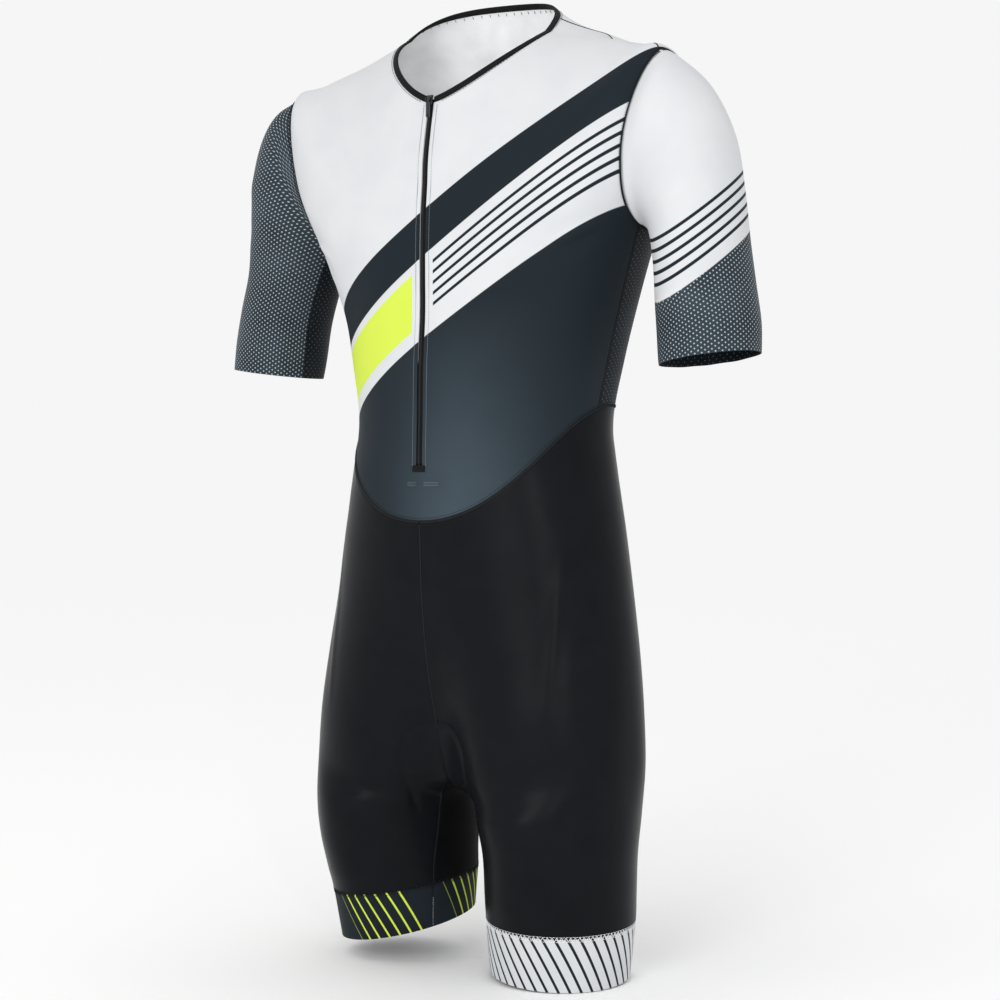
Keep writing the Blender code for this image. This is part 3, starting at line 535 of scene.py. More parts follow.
def grid_quads(rows, columns, keep=None, closed=False):
    """The corners of every cell of a grid. A closed grid joins its last column to its first."""
    cells = np.ones((rows - 1, columns if closed else columns - 1), bool) if keep is None else keep
    r, c = np.nonzero(cells)
    e = (c + 1) % columns
    return np.stack((r * columns + c, (r + 1) * columns + c, (r + 1) * columns + e, r * columns + e), 1)


def shell_faces(quads, total):
    """Faces of a closed shell of two equal grids, and the open sides of the first of them."""
    sides = np.concatenate([quads[:, (i, (i + 1) % 4)] for i in range(4)])
    keys = np.sort(sides, axis=1) @ (total, 1)
    _, first, count = np.unique(keys, return_index=True, return_counts=True)
    rim = sides[first[count == 1]]
    rims = np.stack((rim[:, 1], rim[:, 0], rim[:, 0] + total, rim[:, 1] + total), 1)
    return np.concatenate((quads, quads[:, ::-1] + total, rims)), rim


def cloth_mesh(name, points, keep, hem, extra):
    """A closed shell with a UV map in metres. Material 0 is its outside, 1 its inside."""
    rows, columns = points.shape[:2]
    total = rows * columns
    quads = grid_quads(rows, columns, keep)
    faces, rim = shell_faces(quads, total)
    flat = settled(points).reshape(-1, 3)
    out = grid_normals(points).reshape(-1, 3)
    lift = relief(flat)
    if extra is not None:
        lift = lift + extra(flat)
    tucked = rim[(rim // columns).max(axis=1) < rows - 1] if hem else rim
    near = edge_distance(flat, flat[np.unique(tucked)])
    outer = flat + out * (lift - TUCK_DEPTH * np.exp(-((near / TUCK_WIDTH) ** 2)))[:, None]
    inner = flat + out * (lift - CLOTH)[:, None]
    used = np.unique(faces)
    new = np.zeros(2 * total, int)
    new[used] = np.arange(len(used))
    data = bpy.data.meshes.new(name)
    data.from_pydata(np.concatenate((outer, inner))[used].tolist(), [], new[faces].tolist())
    layer = data.uv_layers.new(name="cloth")
    both = np.tile(metric_uv(points).reshape(-1, 2), (2, 1))
    layer.data.foreach_set("uv", both[faces.ravel()].ravel())
    side = np.zeros(len(faces), np.int32)
    side[len(quads) : 2 * len(quads)] = 1
    data.polygons.foreach_set("material_index", side)
    data.shade_smooth()
    data.set_sharp_from_angle(angle=math.radians(60))
    area = float(sum(p.area for p in data.polygons[: len(quads)]))
    print(f"{name}: {len(faces)} faces, {area * 1e4:.0f} cm2 of cloth")
    return linked(name, data), area


# %% [markdown]
# ## Cutting the pattern pieces
# The front is one piece with a slit for the zip, the back is one piece, and a narrow mesh piece
# runs down each side. The body pieces end at the waist seam, which dips to a point under the
# zip. Each piece is a grid of angles round the body and of heights down it.


# %% Grids of the body panels
# about how long each edge is, in metres, which sets how fine its panel's grid is
SHOULDER_LONG, ARMHOLE_LONG, SIDE_LONG = 0.13, 0.21, 0.16
HALF_FRONT_WIDE, HALF_BACK_WIDE, SIDE_WIDE = 0.18, 0.19, 0.09


def body(angle, t):
    """Points of the suit's outside. A negative angle lies on the wearer's right."""
    around = np.abs(angle)
    return np.where((angle >= 0)[..., None], figure(around, t, 1), figure(around, t, -1))


def metric_uv(points):
    """A flat map in metres: along the bottom row, and up each column from it."""
    u, v = lengths(points, 1), lengths(points, 0)
    along = u[-1:] - u[-1, points.shape[1] // 2]
    return np.stack((along + 0 * v, v[-1:] - v), axis=-1)


def panel_rows(front):
    """Edge angle, edge ring and share of the side seam for each row of a front or back panel."""
    seam = SIDE_SEAM_FRONT if front else SIDE_SEAM_BACK
    shoulder = marks(SHOULDER_LONG, end=False)
    corner, corner_ring = ARMHOLE_TOP["angle"], ARMHOLE_TOP["ring"]
    rows = [(between(SHOULDER_SEAM, corner, s), corner_ring * s, -1) for s in shoulder]
    first, last = (0.0, FRONT_TURN) if front else (360.0, BACK_TURN)
    for s in marks(ARMHOLE_LONG, start=False, end=False)[1:]:
        angle, ring = armhole_place(between(first, last, s))
        rows.append((float(angle), float(ring), -1))
    top = rows[-1][1]
    shares = marks(SIDE_LONG, start=False)[1:]
    if front:
        shares[np.argmin(np.abs(shares - ZIP_FOOT_SHARE))] = ZIP_FOOT_SHARE
    rows += [(seam, top, s) for s in shares]
    return np.array(rows).T, top


def row_levels(angles, rings, shares, top):
    low = between(top, waist_ring(angles), np.maximum(shares, 0)[:, None])
    return np.where((shares < 0)[:, None], rings[:, None], low)


ZIP_FOOT_SHARE = (ZIP_FOOT - SIDE_TOP) / (float(waist_ring(0.0)) - SIDE_TOP)
print("the zip ends", round(ZIP_FOOT_SHARE, 2), "of the way from the armpit to the waist seam")

# %% [markdown]
# ## The panels of the top
# The edges beside the zip are folded back and sewn down, which leaves a raised strip with a line
# of stitches pressed into it. The front panel's grid is finest there. A negative angle puts the
# same grid on the wearer's right, so the front and the back are each one piece.

# %% Front, back and side panels
PLACKET_WIDE, PLACKET_RISE = 0.0052, 0.0005
TOPSTITCH_IN = 0.0042  # from the slit's edge to the line of stitches
SLIT_COLUMNS = np.linspace(0.020, 0.060, 11)  # extra columns beside the slit, as shares


def placket_step(points):
    """The folded edges beside the zip: a strip raised by its second layer, sewn down in a line."""
    x, y, z = points.T
    from_slit = np.abs(x) - SLIT_HALF
    raised = 1 / (1 + np.exp((from_slit - PLACKET_WIDE) / 0.0004))
    line = np.exp(-(((from_slit - TOPSTITCH_IN) / 0.0006) ** 2))
    here = (y < 0) & (z > ZIP_FOOT_Z - 0.010)
    return np.where(here, PLACKET_RISE * raised - 0.0006 * line, 0)


def front_panel():
    (edge, ring, share), top = panel_rows(True)
    middle_level = row_levels(np.zeros((len(ring), 1)), ring, share, top)[:, 0]
    slit = angle_at_x(middle_level, SLIT_HALF)
    w = np.array(sorted({*(marks(HALF_FRONT_WIDE) ** 1.1), *SLIT_COLUMNS}))
    half = slit[:, None] + (edge - slit)[:, None] * w
    angles = np.concatenate((-half[:, ::-1], half), axis=1)
    levels = row_levels(np.abs(angles), ring, share, top)
    keep = np.ones((len(ring) - 1, angles.shape[1] - 1), bool)
    keep[(share[1:] < ZIP_FOOT_SHARE + 1e-6), len(w) - 1] = False
    return body(angles, levels), keep


def back_panel():
    (edge, ring, share), top = panel_rows(False)
    half = 180 + (edge - 180)[:, None] * marks(HALF_BACK_WIDE, start=False)
    angles = np.concatenate((half[:, ::-1], -half[:, 1:]), axis=1)
    return body(angles, row_levels(np.abs(angles), ring, share, top))


def side_panel(side):
    turn = between(FRONT_TURN, BACK_TURN, marks(SIDE_WIDE))[None, :]
    angle, ring = armhole_place(turn)
    share = marks(SIDE_LONG)[:, None]
    points = figure(angle + 0 * share, between(ring, waist_ring(angle), share), side)
    return points[:, ::side]


PIECES, AREAS, SPANS = {}, {}, {}


def cloth_piece(name, points, node, keep=None, hem=False, extra=None):
    """A finished panel that stands for one node of the frame and rides with the suit."""
    made, area = cloth_mesh(name, points, keep, hem, extra)
    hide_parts(node)
    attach(made, "suit")
    PIECES[node] = made
    AREAS[node] = area
    SPANS[node] = (float(lengths(points, 1)[:, -1].max()), float(lengths(points, 0)[-1].max()))


points, keep = front_panel()
cloth_piece("front_cloth", points, "front_panel", keep, extra=placket_step)
cloth_piece("back_cloth", back_panel(), "back_panel")
LEFT_RIGHT = ((1, "left"), (-1, "right"))
for side, word in LEFT_RIGHT:
    cloth_piece(f"side_cloth_{word}", side_panel(side), f"side_panel_{word}")

# %% [markdown]
# ## Sleeves
# Each sleeve is cut in two: an outer piece over the arm, and a narrow one under it. The cuff is
# a raw cut edge with no hem, which knitted mesh allows because it doesn't fray. It waves a
# little, because nothing holds it in line.


# %% Sleeve panels
SLEEVE_LONG, OVER_ARM_WIDE, UNDER_ARM_WIDE = 0.27, 0.28, 0.09
CUFF_Z, CUFF_REACH, ARM_FROM_X, WAVE_HIGH = -0.345, 0.02, 0.19, 0.0007


def cuff_wave(points):
    """A small wave in the raw edge of the cuff."""
    x, y, z = points.T
    near = np.exp(-(((CUFF_Z - z) / CUFF_REACH) ** 2)) * (np.abs(x) > ARM_FROM_X)
    return near * WAVE_HIGH * np.sin(x * 210 + y * 160)


def sleeve_points(first, last, wide, side):
    turn = between(first, last, marks(wide))[None, ::-1]
    s = len(SLEEVE) * marks(SLEEVE_LONG, end=False)[:, None]
    return sleeve(np.mod(turn, 360), s, side)[:, ::side]


for side, word in LEFT_RIGHT:
    for node, first, last, wide in (
        ("sleeve", BACK_TURN - 360, FRONT_TURN, OVER_ARM_WIDE),
        ("under_sleeve", FRONT_TURN, BACK_TURN, UNDER_ARM_WIDE),
    ):
        points = sleeve_points(first, last, wide, side)
        cloth_piece(f"{node}_cloth_{word}", points, f"{node}_{word}", hem=True, extra=cuff_wave)

# %% [markdown]
# ## Shorts, inner leg panels and bands
# The shorts are a left and a right half, joined down the centre front and back. An inner panel
# on each leg closes the crotch. The stretch pad inside shows through the cloth as a soft oval
# step at the lower front, and the back has the same step under the seat. A wide elastic band
# ends each leg.

# %% Shorts and legs
PAD_HALF, PAD_RISE, PAD_GROOVE = 0.035, 0.0012, 0.0011
PAD_FRONT_TOP, PAD_SEAT_TOP, PAD_ROUND = -0.679, -0.645, 0.034
BAND_JOINT = 0.12  # degrees from the inner seam to each end of the strip that makes a band
HIP_ROUND, HIP_LONG, THIGH_LONG, INNER_SIZE = 0.45, 0.30, 0.155, 0.16
BAND_ROUND, BAND_TALL, BAND_STEP = 0.42, 0.048, 0.0028
FINE_CENTRES, FINE_CROTCH, FINE_THIGH = ((0.0, 0.12), (0.88, 1.0)), ((0.70, 1.0),), ((0.0, 0.3),)


def pad_step(points):
    """The step that the pad's edge presses into the cloth over it."""
    x, y, z = points.T
    top = np.where(y < -0.01, PAD_FRONT_TOP, PAD_SEAT_TOP)
    across = np.abs(x) / PAD_HALF
    up = np.maximum(0, (z - top + PAD_ROUND) / PAD_ROUND)
    oval = (across**2.2 + up**2.2) ** (1 / 2.2)
    inside = 1 / (1 + np.exp((oval - 1) / 0.04))
    ring = np.exp(-(((oval - 1.04) / 0.06) ** 2))
    fade = np.clip((z + 0.775) / 0.02, 0, 1) * (np.abs(x) < 0.06)
    return fade * (PAD_RISE * inside - PAD_GROOVE * ring)


for side, word in LEFT_RIGHT:
    angle = 180 * marks(HIP_ROUND, between_too=FINE_CENTRES)[None, :]
    share = marks(HIP_LONG, end=False, between_too=FINE_CROTCH)[:, None]
    upper = figure(angle, between(waist_ring(angle), CROTCH, share), side, on_leg=False)
    share = marks(THIGH_LONG, start=False, between_too=FINE_THIGH)[1:, None]
    lower = figure(angle, CROTCH + (BAND_SEAM - CROTCH) * share, side, on_leg=True)
    points = np.concatenate((upper, lower))[:, ::side]
    cloth_piece(f"shorts_cloth_{word}", points, f"shorts_{word}", extra=pad_step)
    angle = 180 + 180 * marks(INNER_SIZE)[None, :]
    level = CROTCH + (BAND_SEAM - CROTCH) * marks(INNER_SIZE)[:, None]
    points = figure(angle, level, side, on_leg=True)[:, ::side]
    cloth_piece(f"inner_leg_cloth_{word}", points, f"inner_leg_{word}", extra=pad_step)
    angle = between(BAND_JOINT, 360 - BAND_JOINT, marks(BAND_ROUND))[None, :]
    level = BAND_SEAM + marks(BAND_TALL, BAND_STEP, end=False)[:, None]
    points = figure(angle, level, side, on_leg=True)[:, ::side]
    cloth_piece(f"band_cloth_{word}", points, f"leg_band_{word}", hem=True)

# %% [markdown]
# ## Seam lines in space
# Thread and trim follow the same angles and rings as the edges of the panels. A helper finds
# the point on the folded cloth and the way out of it, so that a stitch sits on the surface
# wherever the folds have moved it.


# %% Seam paths
def on_cloth(surface, a, b, side=1, raise_by=0.0):
    """Points on the cloth along a path of a surface, and the way out at each."""
    a, b = np.broadcast_arrays(np.asarray(a, float), np.asarray(b, float))
    across = surface(a + 0.2, b) - surface(a - 0.2, b)
    down = surface(a, b + 0.01) - surface(a, b - 0.01)
    out = unit(np.cross(down, across)) * side
    points = settled(surface(a, b))
    return points + out * (relief(points) + raise_by)[:, None], out


def even_path(points, outs, step):
    """The same path with points at even distances, with its directions along and out."""
    walked = lengths(points[:, None], 0)[:, 0]
    count = max(2, int(walked[-1] / step))
    at = (np.arange(count) + 0.5) * walked[-1] / count
    even = np.stack([np.interp(at, walked, points[:, i]) for i in range(3)], 1)
    out = unit(np.stack([np.interp(at, walked, outs[:, i]) for i in range(3)], 1))
    along = unit(np.gradient(even, axis=0))
    out = unit(out - along * np.sum(out * along, axis=1, keepdims=True))
    return even, along, out


# a sign and a word for each side, and the surfaces of its half of the body, its leg and its arm
SIDES = [
    (side, word, partial(figure, half=side), partial(figure, half=side, on_leg=True),
     partial(sleeve, side=side))
    for side, word in LEFT_RIGHT
]
LEFT_BODY = SIDES[0][2]
SEAM_ENDS = ((SIDE_SEAM_FRONT, SIDE_TOP, "front"), (SIDE_SEAM_BACK, SIDE_TOP_BACK, "back"))


def plain_mesh(name, vertices, faces, uv):
    data = bpy.data.meshes.new(name)
    data.from_pydata(vertices.tolist(), [], faces.tolist())
    layer = data.uv_layers.new(name="cloth")
    layer.data.foreach_set("uv", uv[faces.ravel()].ravel())
    data.shade_smooth()
    made = linked(name, data)
    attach(made, "suit")
    return made


waist_angles = np.linspace(0.0, 180.0, 240)
waist_rings = waist_ring(waist_angles)
waist_points, _ = on_cloth(LEFT_BODY, waist_angles, waist_rings)
print("waist seam, half way round:", round(float(lengths(waist_points[:, None], 0)[-1, 0]), 3), "m")

# %% [markdown]
# ## Raised seams
# Under a seam lie two folded edges of cloth, which lift it into a soft rib. At the waist the rib
# is thick, because the heavy shorts join the light top there, and it is overlocked in black. A
# rib is a narrow strip with a rounded top, swept along the seam.


# %% Ribs
def rib(name, points, outs, half_wide, high, step=0.0022, sunk=0.0004):
    """A strip with a rounded top along a path, closed at both ends and underneath."""
    even, along, out = even_path(points, outs, step)
    beside = np.cross(out, along)
    turns = np.radians(np.linspace(0, 180, 7))
    section = np.stack((np.cos(turns) * half_wide, np.sin(turns) * high), 1)
    rings = np.stack([even + beside * x + out * (y - sunk) for x, y in section], 1)
    distance = np.repeat(np.arange(len(even)) * step, len(turns))
    return swept(name, rings, np.stack((distance, np.tile(turns * half_wide, len(even))), 1))


def swept(name, rings, uv):
    """A closed piece through equal rings of points."""
    count, around = rings.shape[:2]
    faces = grid_quads(count, around, closed=True)
    ends = [list(range(around)), list(range(count * around - 1, (count - 1) * around - 1, -1))]
    return capped(plain_mesh(name, rings.reshape(-1, 3), faces, uv), ends)


def capped(made, loops):
    """Closes the open ends of a swept piece and turns every face outwards."""
    shape = bmesh.new()
    shape.from_mesh(made.data)
    shape.verts.ensure_lookup_table()
    for loop in loops:
        shape.faces.new([shape.verts[i] for i in loop])
    bmesh.ops.recalc_face_normals(shape, faces=shape.faces)
    shape.to_mesh(made.data)
    shape.free()
    return made


# half the width of each kind of rib, and its height
WAIST_RIB, PLAIN_RIB, SIDE_RIB, ARMHOLE_RIB = (
    (0.0016, 0.0011), (0.0008, 0.0007), (0.0007, 0.0006), (0.0012, 0.0005),
)
INNER_ENDS = ((0.001, "front"), (180.0, "back"))
RIBS = []
for side, word, torso, leg, arm in SIDES:
    waist = on_cloth(torso, waist_angles, waist_rings, side)
    RIBS.append(rib(f"waist_rib_{word}", *waist, *WAIST_RIB))
    share = np.linspace(0.0, 1.0, 60)
    along = between(SHOULDER_SEAM, ARMHOLE_TOP["angle"], share)
    shoulder = on_cloth(torso, along, ARMHOLE_TOP["ring"] * share, side)
    RIBS.append(rib(f"shoulder_rib_{word}", *shoulder, *PLAIN_RIB))
    for seam, top, place in SEAM_ENDS:
        path = on_cloth(torso, seam, np.linspace(top, float(waist_ring(seam)), 60), side)
        RIBS.append(rib(f"side_rib_{place}_{word}", *path, *SIDE_RIB))
    for angle, place in INNER_ENDS:
        path = on_cloth(leg, angle, np.linspace(CROTCH + 0.02, BAND_SEAM - 0.01, 60), side)
        RIBS.append(rib(f"inner_rib_{place}_{word}", *path, *SIDE_RIB))
for angle, place in ((0.0, "front"), (180.0, "back")):
    down = np.linspace(float(waist_ring(angle)) + 0.02, CROTCH - 0.01, 120)
    points, outs = on_cloth(LEFT_BODY, angle, down)
    points[:, 0] = 0
    outs[:, 0] = 0
    RIBS.append(rib(f"centre_rib_{place}", points, outs, *PLAIN_RIB))
print("ribs:", len(RIBS))

# %% [markdown]
# ## Stitches
# A flatlock seam shows as a ladder of short threads across the join, and the looper side of a
# coverstitch as a zigzag between two straight lines. One stitch is modelled with a few faces as
# a short rounded thread, and it is copied along each seam in its own direction. Hundreds of them
# stay light.

# %% One stitch
bpy.ops.object.select_all(action="DESELECT")
bpy.ops.mesh.primitive_uv_sphere_add(segments=6, ring_count=4, radius=0.5)
stitch_model = bpy.context.active_object
bpy.ops.object.mode_set(mode="EDIT")
bpy.ops.mesh.select_all(action="SELECT")
bpy.ops.transform.rotate(value=math.pi / 2, orient_axis="Y", center_override=(0, 0, 0))
bpy.ops.object.mode_set(mode="OBJECT")
STITCH = np.array([v.co[:] for v in stitch_model.data.vertices])
STITCH[:, 0] = np.sign(STITCH[:, 0]) * (np.abs(STITCH[:, 0]) * 2) ** 0.6 / 2
STITCH_FACES = [list(p.vertices) for p in stitch_model.data.polygons]
bpy.data.objects.remove(stitch_model)
print("one stitch has", len(STITCH_FACES), "faces")


# %% Sewing along a path
def copies(name, centres, along, beside, out, size):
    """Copies of the stitch at every centre, each in its own three directions, as one piece."""
    shape = STITCH * size
    corners = (
        centres[:, None]
        + along[:, None] * shape[None, :, 0:1]
        + beside[:, None] * shape[None, :, 1:2]
        + out[:, None] * shape[None, :, 2:3]
    )
    data = bpy.data.meshes.new(name)
    faces = [[i + k * len(STITCH) for i in face] for k in range(len(centres)) for face in STITCH_FACES]
    data.from_pydata(corners.reshape(-1, 3).tolist(), [], faces)
    data.shade_smooth()
    made = linked(name, data)
    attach(made, "suit")
    return made


TURN_SPREAD, PLACE_SPREAD, SEWING_SEED = 2.5, 0.00006, 3  # no two stitches lie quite alike


def sew(name, path, pitch, size, turns=(0.0,), shift=0.0):
    """Stitches of a size (along, across, high) every pitch, turned by the given degrees in turn."""
    even, along, out = even_path(*path, pitch)
    beside = np.cross(out, along)
    random = np.random.default_rng(SEWING_SEED)
    count = len(even)
    turn = np.radians(np.resize(turns, count) + random.normal(0, TURN_SPREAD, count))[:, None]
    ahead = along * np.cos(turn) + beside * np.sin(turn)
    centres = even + beside * (shift + random.normal(0, PLACE_SPREAD, (count, 1)))
    return copies(name, centres, ahead, np.cross(out, ahead), out, size)


ROUND_ARMHOLE = np.linspace(2.0, 358.0, 300)


def armhole_path(side, torso, arm):
    """The armhole's seam line. Its way out lies between those of the body and the sleeve."""
    points, outs = on_cloth(torso, *armhole_place(ROUND_ARMHOLE), side)
    down_arm = unit(arm(ROUND_ARMHOLE, 0.25) - arm(ROUND_ARMHOLE, 0.0))
    arm_out = unit(np.cross(np.cross(outs, down_arm), down_arm)) * -1
    return points, unit(outs + arm_out)


print("points round each armhole:", len(ROUND_ARMHOLE))

# %% [markdown]
# ## Which seam gets which stitch
# The sleeve is joined with a wide ladder of threads, with a second, shorter one just on the arm.
# The heavy waist seam is overlocked and held down by a straight line on each side. The leg band
# gets the widest zigzag. Side, sleeve and inner leg seams are narrow flatlock, and their thread
# matches the dark cloth.

# %% Sewing the seams
# each kind: its pitch, one stitch's length, width and height, and its turn or turns in degrees
ARMHOLE_LADDER = (0.0020, (0.0048, 0.00085, 0.0007), (80.0,))
ARM_LADDER = (0.0020, (0.0036, 0.00085, 0.0010), (80.0,))
OVERLOCK = (0.0022, (0.0036, 0.0006, 0.0005), (58.0,))
WAIST_LINE = (0.0030, (0.0026, 0.00045, 0.0004), (0.0,))
BAND_JOIN = (0.0024, (0.0022, 0.0005, 0.0005), (78.0,))
BAND_ZIGZAG = (0.0021, (0.0048, 0.00065, 0.0006), (62.0, -62.0))
BAND_LINE = (0.0030, (0.0027, 0.0005, 0.0005), (0.0,))
SIDE_LADDER = (0.0028, (0.0030, 0.0005, 0.0005), (78.0,))
SLEEVE_LADDER = (0.0026, (0.0026, 0.0005, 0.0005), (76.0,))
INNER_LADDER = (0.0028, (0.0028, 0.0005, 0.0005), (76.0,))
ARM_LADDER_AT = 0.14  # ring of the sleeve, a few millimetres from the armhole
WAIST_LINE_OFF, BAND_LINE_OFF = 0.0034, 0.0023
DARK, PALE, GREY = [], [], []
for side, word, torso, leg, arm in SIDES:
    ladder = armhole_path(side, torso, arm)
    DARK.append(sew(f"armhole_ladder_{word}", ladder, *ARMHOLE_LADDER))
    ladder_arm = on_cloth(arm, ROUND_ARMHOLE, ARM_LADDER_AT, -side, 0.0003)
    DARK.append(sew(f"armhole_ladder_arm_{word}", ladder_arm, *ARM_LADDER))
    RIBS.append(rib(f"armhole_rib_{word}", *ladder, *ARMHOLE_RIB))
    points, outs = on_cloth(torso, waist_angles, waist_rings, side, 0.0007)
    DARK.append(sew(f"waist_overlock_{word}", (points, outs), *OVERLOCK))
    low = (points - outs * 0.0006, outs)
    for off, place in ((-WAIST_LINE_OFF, "lower"), (WAIST_LINE_OFF, "upper")):
        DARK.append(sew(f"waist_line_{place}_{word}", low, *WAIST_LINE, off))
    band_thread = PALE if side > 0 else DARK
    down = np.linspace(BAND_SEAM + 0.01, HEM - 0.01, 30)
    band_thread.append(sew(f"band_joint_{word}", on_cloth(leg, 0.0, down, side), *BAND_JOIN))
    path = on_cloth(leg, np.linspace(0.0, 360.0, 400), BAND_SEAM, side, 0.0001)
    band_thread.append(sew(f"band_zigzag_{word}", path, *BAND_ZIGZAG))
    for off, place in ((-BAND_LINE_OFF, "lower"), (BAND_LINE_OFF, "upper")):
        band_thread.append(sew(f"band_line_{place}_{word}", path, *BAND_LINE, off))
    for seam, top, place in SEAM_ENDS:
        path = on_cloth(torso, seam, np.linspace(top, float(waist_ring(seam)), 80), side, 0.0002)
        DARK.append(sew(f"side_seam_{place}_{word}", path, *SIDE_LADDER))
    for seam, place in ((FRONT_TURN, "front"), (BACK_TURN, "back")):
        path = on_cloth(arm, seam, np.linspace(0.15, len(SLEEVE) - 0.02, 80), -side, 0.0001)
        DARK.append(sew(f"sleeve_seam_{place}_{word}", path, *SLEEVE_LADDER))
    for angle, place in INNER_ENDS:
        path = on_cloth(leg, angle, np.linspace(CROTCH + 0.03, BAND_SEAM - 0.01, 90), side, 0.0002)
        DARK.append(sew(f"inner_seam_{place}_{word}", path, *INNER_LADDER))
print("sewn lines so far:", len(DARK) + len(PALE))

# %% [markdown]
# ## Neck binding
# A folded tape wraps the raw edge of the neck. It is thicker than the cloth and has a rounded
# edge, so it is a rounded section swept round the neckline on both sides, up to the zip. One
# line of stitches holds it outside, and inside it shows as short ticks far apart.

# %% Binding
BINDING_WIDE, BINDING_THICK, BINDING_SUNK = 0.0062, 0.0026, 0.0008
BINDING_LONG, BINDING_STEP, BINDING_CORNERS, CORNER_APART = 0.24, 0.0018, 18, 0.0009
TICKS = (0.0085, (0.0030, 0.0006, 0.0006), (80.0,))
BINDING_STITCH = (0.0032, (0.0026, 0.0005, 0.0005))


def rounded(share, power, size):
    """A sine or cosine made squarer, for a section with rounded corners."""
    return np.sign(share) * np.abs(share) ** power * size / 2


def binding_half(name, side, torso):
    start = float(angle_at_x(0.0, SLIT_HALF + 0.0003))
    angle = between(start, 180.0, marks(BINDING_LONG, BINDING_STEP, start=False, end=False))
    points, outs = on_cloth(torso, angle, 0.0, side)
    rise = unit(points - torso(angle, 0.01))
    turns = np.radians(np.linspace(0, 360, BINDING_CORNERS, endpoint=False))
    up = rounded(np.cos(turns), 0.7, BINDING_WIDE) + BINDING_WIDE / 2
    out = rounded(np.sin(turns), 0.6, BINDING_THICK) - BINDING_SUNK
    rings = points[:, None] + rise[:, None] * up[None, :, None] + outs[:, None] * out[None, :, None]
    walked = lengths(rings, 0).reshape(-1)
    around = np.tile(np.arange(len(turns)) * CORNER_APART, len(points))
    return swept(name, rings, np.stack((walked, around), 1))


TRIM = []
for side, word, torso, leg, arm in SIDES:
    made = binding_half(f"neck_binding_{word}", side, torso)
    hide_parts("neck_binding")
    TRIM.append(made)
    angle = np.linspace(8.0, 180.0, 200)
    inside = on_cloth(torso, angle, 0.06, side, -CLOTH - 0.0004)
    DARK.append(sew(f"binding_ticks_{word}", inside, *TICKS))
    outside = on_cloth(torso, angle, 0.045, side, 0.0003)
    TRIM.append(sew(f"binding_stitch_{word}", outside, *BINDING_STITCH))
print("binding halves:", len(SIDES))

# %% [markdown]
# ## The zip
# Behind the slit lies the zip's tape. Its coil is a row of small nylon loops from both sides,
# which lock into each other. Each loop is one rounded bar, and they alternate.

# %% Tape and coil
ZIP_TOP, TAPE_HALF, TAPE_THICK, TAPE_SUNK = 0.0055, 0.0030, 0.0005, 0.0008
COIL_PITCH, COIL_LOOP = 0.0011, (0.0026, 0.00095, 0.0011)
COIL_SLANT, COIL_SWING, COIL_RISE = 9.0, 0.00035, 0.0003
down = np.linspace(0.0, ZIP_FOOT, 200)
zip_points = figure(0 * down, down, 1)
lean = unit(np.gradient(zip_points, axis=0))
zip_outs = unit(np.cross(lean, np.array((1.0, 0, 0))))
zip_outs = zip_outs * np.sign(-zip_outs[:, 1:2])
top = zip_points[:1] - lean[:1] * ZIP_TOP
zip_points = np.concatenate((top, zip_points))
zip_outs = np.concatenate((zip_outs[:1], zip_outs))
tape = rib("zip_tape_strip", zip_points, zip_outs, TAPE_HALF, TAPE_THICK, sunk=TAPE_SUNK)
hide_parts("zip_tape")
TRIM.append(tape)
even, along, out = even_path(zip_points, zip_outs, COIL_PITCH)
beside = np.cross(out, along)
swing = np.where(np.arange(len(even)) % 2, 1.0, -1.0)[:, None]
slant = np.radians(COIL_SLANT) * swing
ahead = beside * np.cos(slant) + along * np.sin(slant)
centres = even + beside * COIL_SWING * swing + out * COIL_RISE
coil = copies("zip_coil_loops", centres, ahead, np.cross(out, ahead), out, COIL_LOOP)
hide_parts("zip_coil")
print("coil loops:", len(even))

# %% [markdown]
# ## Small solid parts
# The zip's metal parts are made of a few blocks with rounded edges and short round bars, welded
# into one closed body each. Every part is shaped at the origin and then moved into place, so the
# piece itself stays at the origin.


# %% Small blocks
def block(size, bevel, segments=2, taper=1.0):
    """A box with rounded edges. A taper below 1 narrows its lower end."""
    bpy.ops.object.select_all(action="DESELECT")
    bpy.ops.mesh.primitive_cube_add(size=1)
    made = bpy.context.active_object
    bpy.ops.object.mode_set(mode="EDIT")
    bpy.ops.mesh.select_all(action="SELECT")
    bpy.ops.transform.resize(value=size, center_override=(0, 0, 0))
    bpy.ops.object.mode_set(mode="OBJECT")
    for vertex in made.data.vertices:
        vertex.select = vertex.co.z < 0
    for flat in list(made.data.edges) + list(made.data.polygons):
        flat.select = all(made.data.vertices[i].co.z < 0 for i in flat.vertices)
    bpy.ops.object.mode_set(mode="EDIT")
    bpy.ops.transform.resize(value=(taper, 1, 1), center_override=(0, 0, 0))
    bpy.ops.mesh.select_all(action="SELECT")
    bpy.ops.mesh.bevel(offset=bevel, segments=segments, affect="EDGES", clamp_overlap=True)
    bpy.ops.object.mode_set(mode="OBJECT")
    return made


def bar(radius, long, sides=20):
    """A round bar along X."""
    bpy.ops.object.select_all(action="DESELECT")
    bpy.ops.mesh.primitive_cylinder_add(vertices=sides, radius=radius, depth=long)
    made = bpy.context.active_object
    made.data.transform(Matrix.Rotation(math.pi / 2, 4, "Y"))
    return made


def placed(made, place):
    made.data.transform(place)
    return made


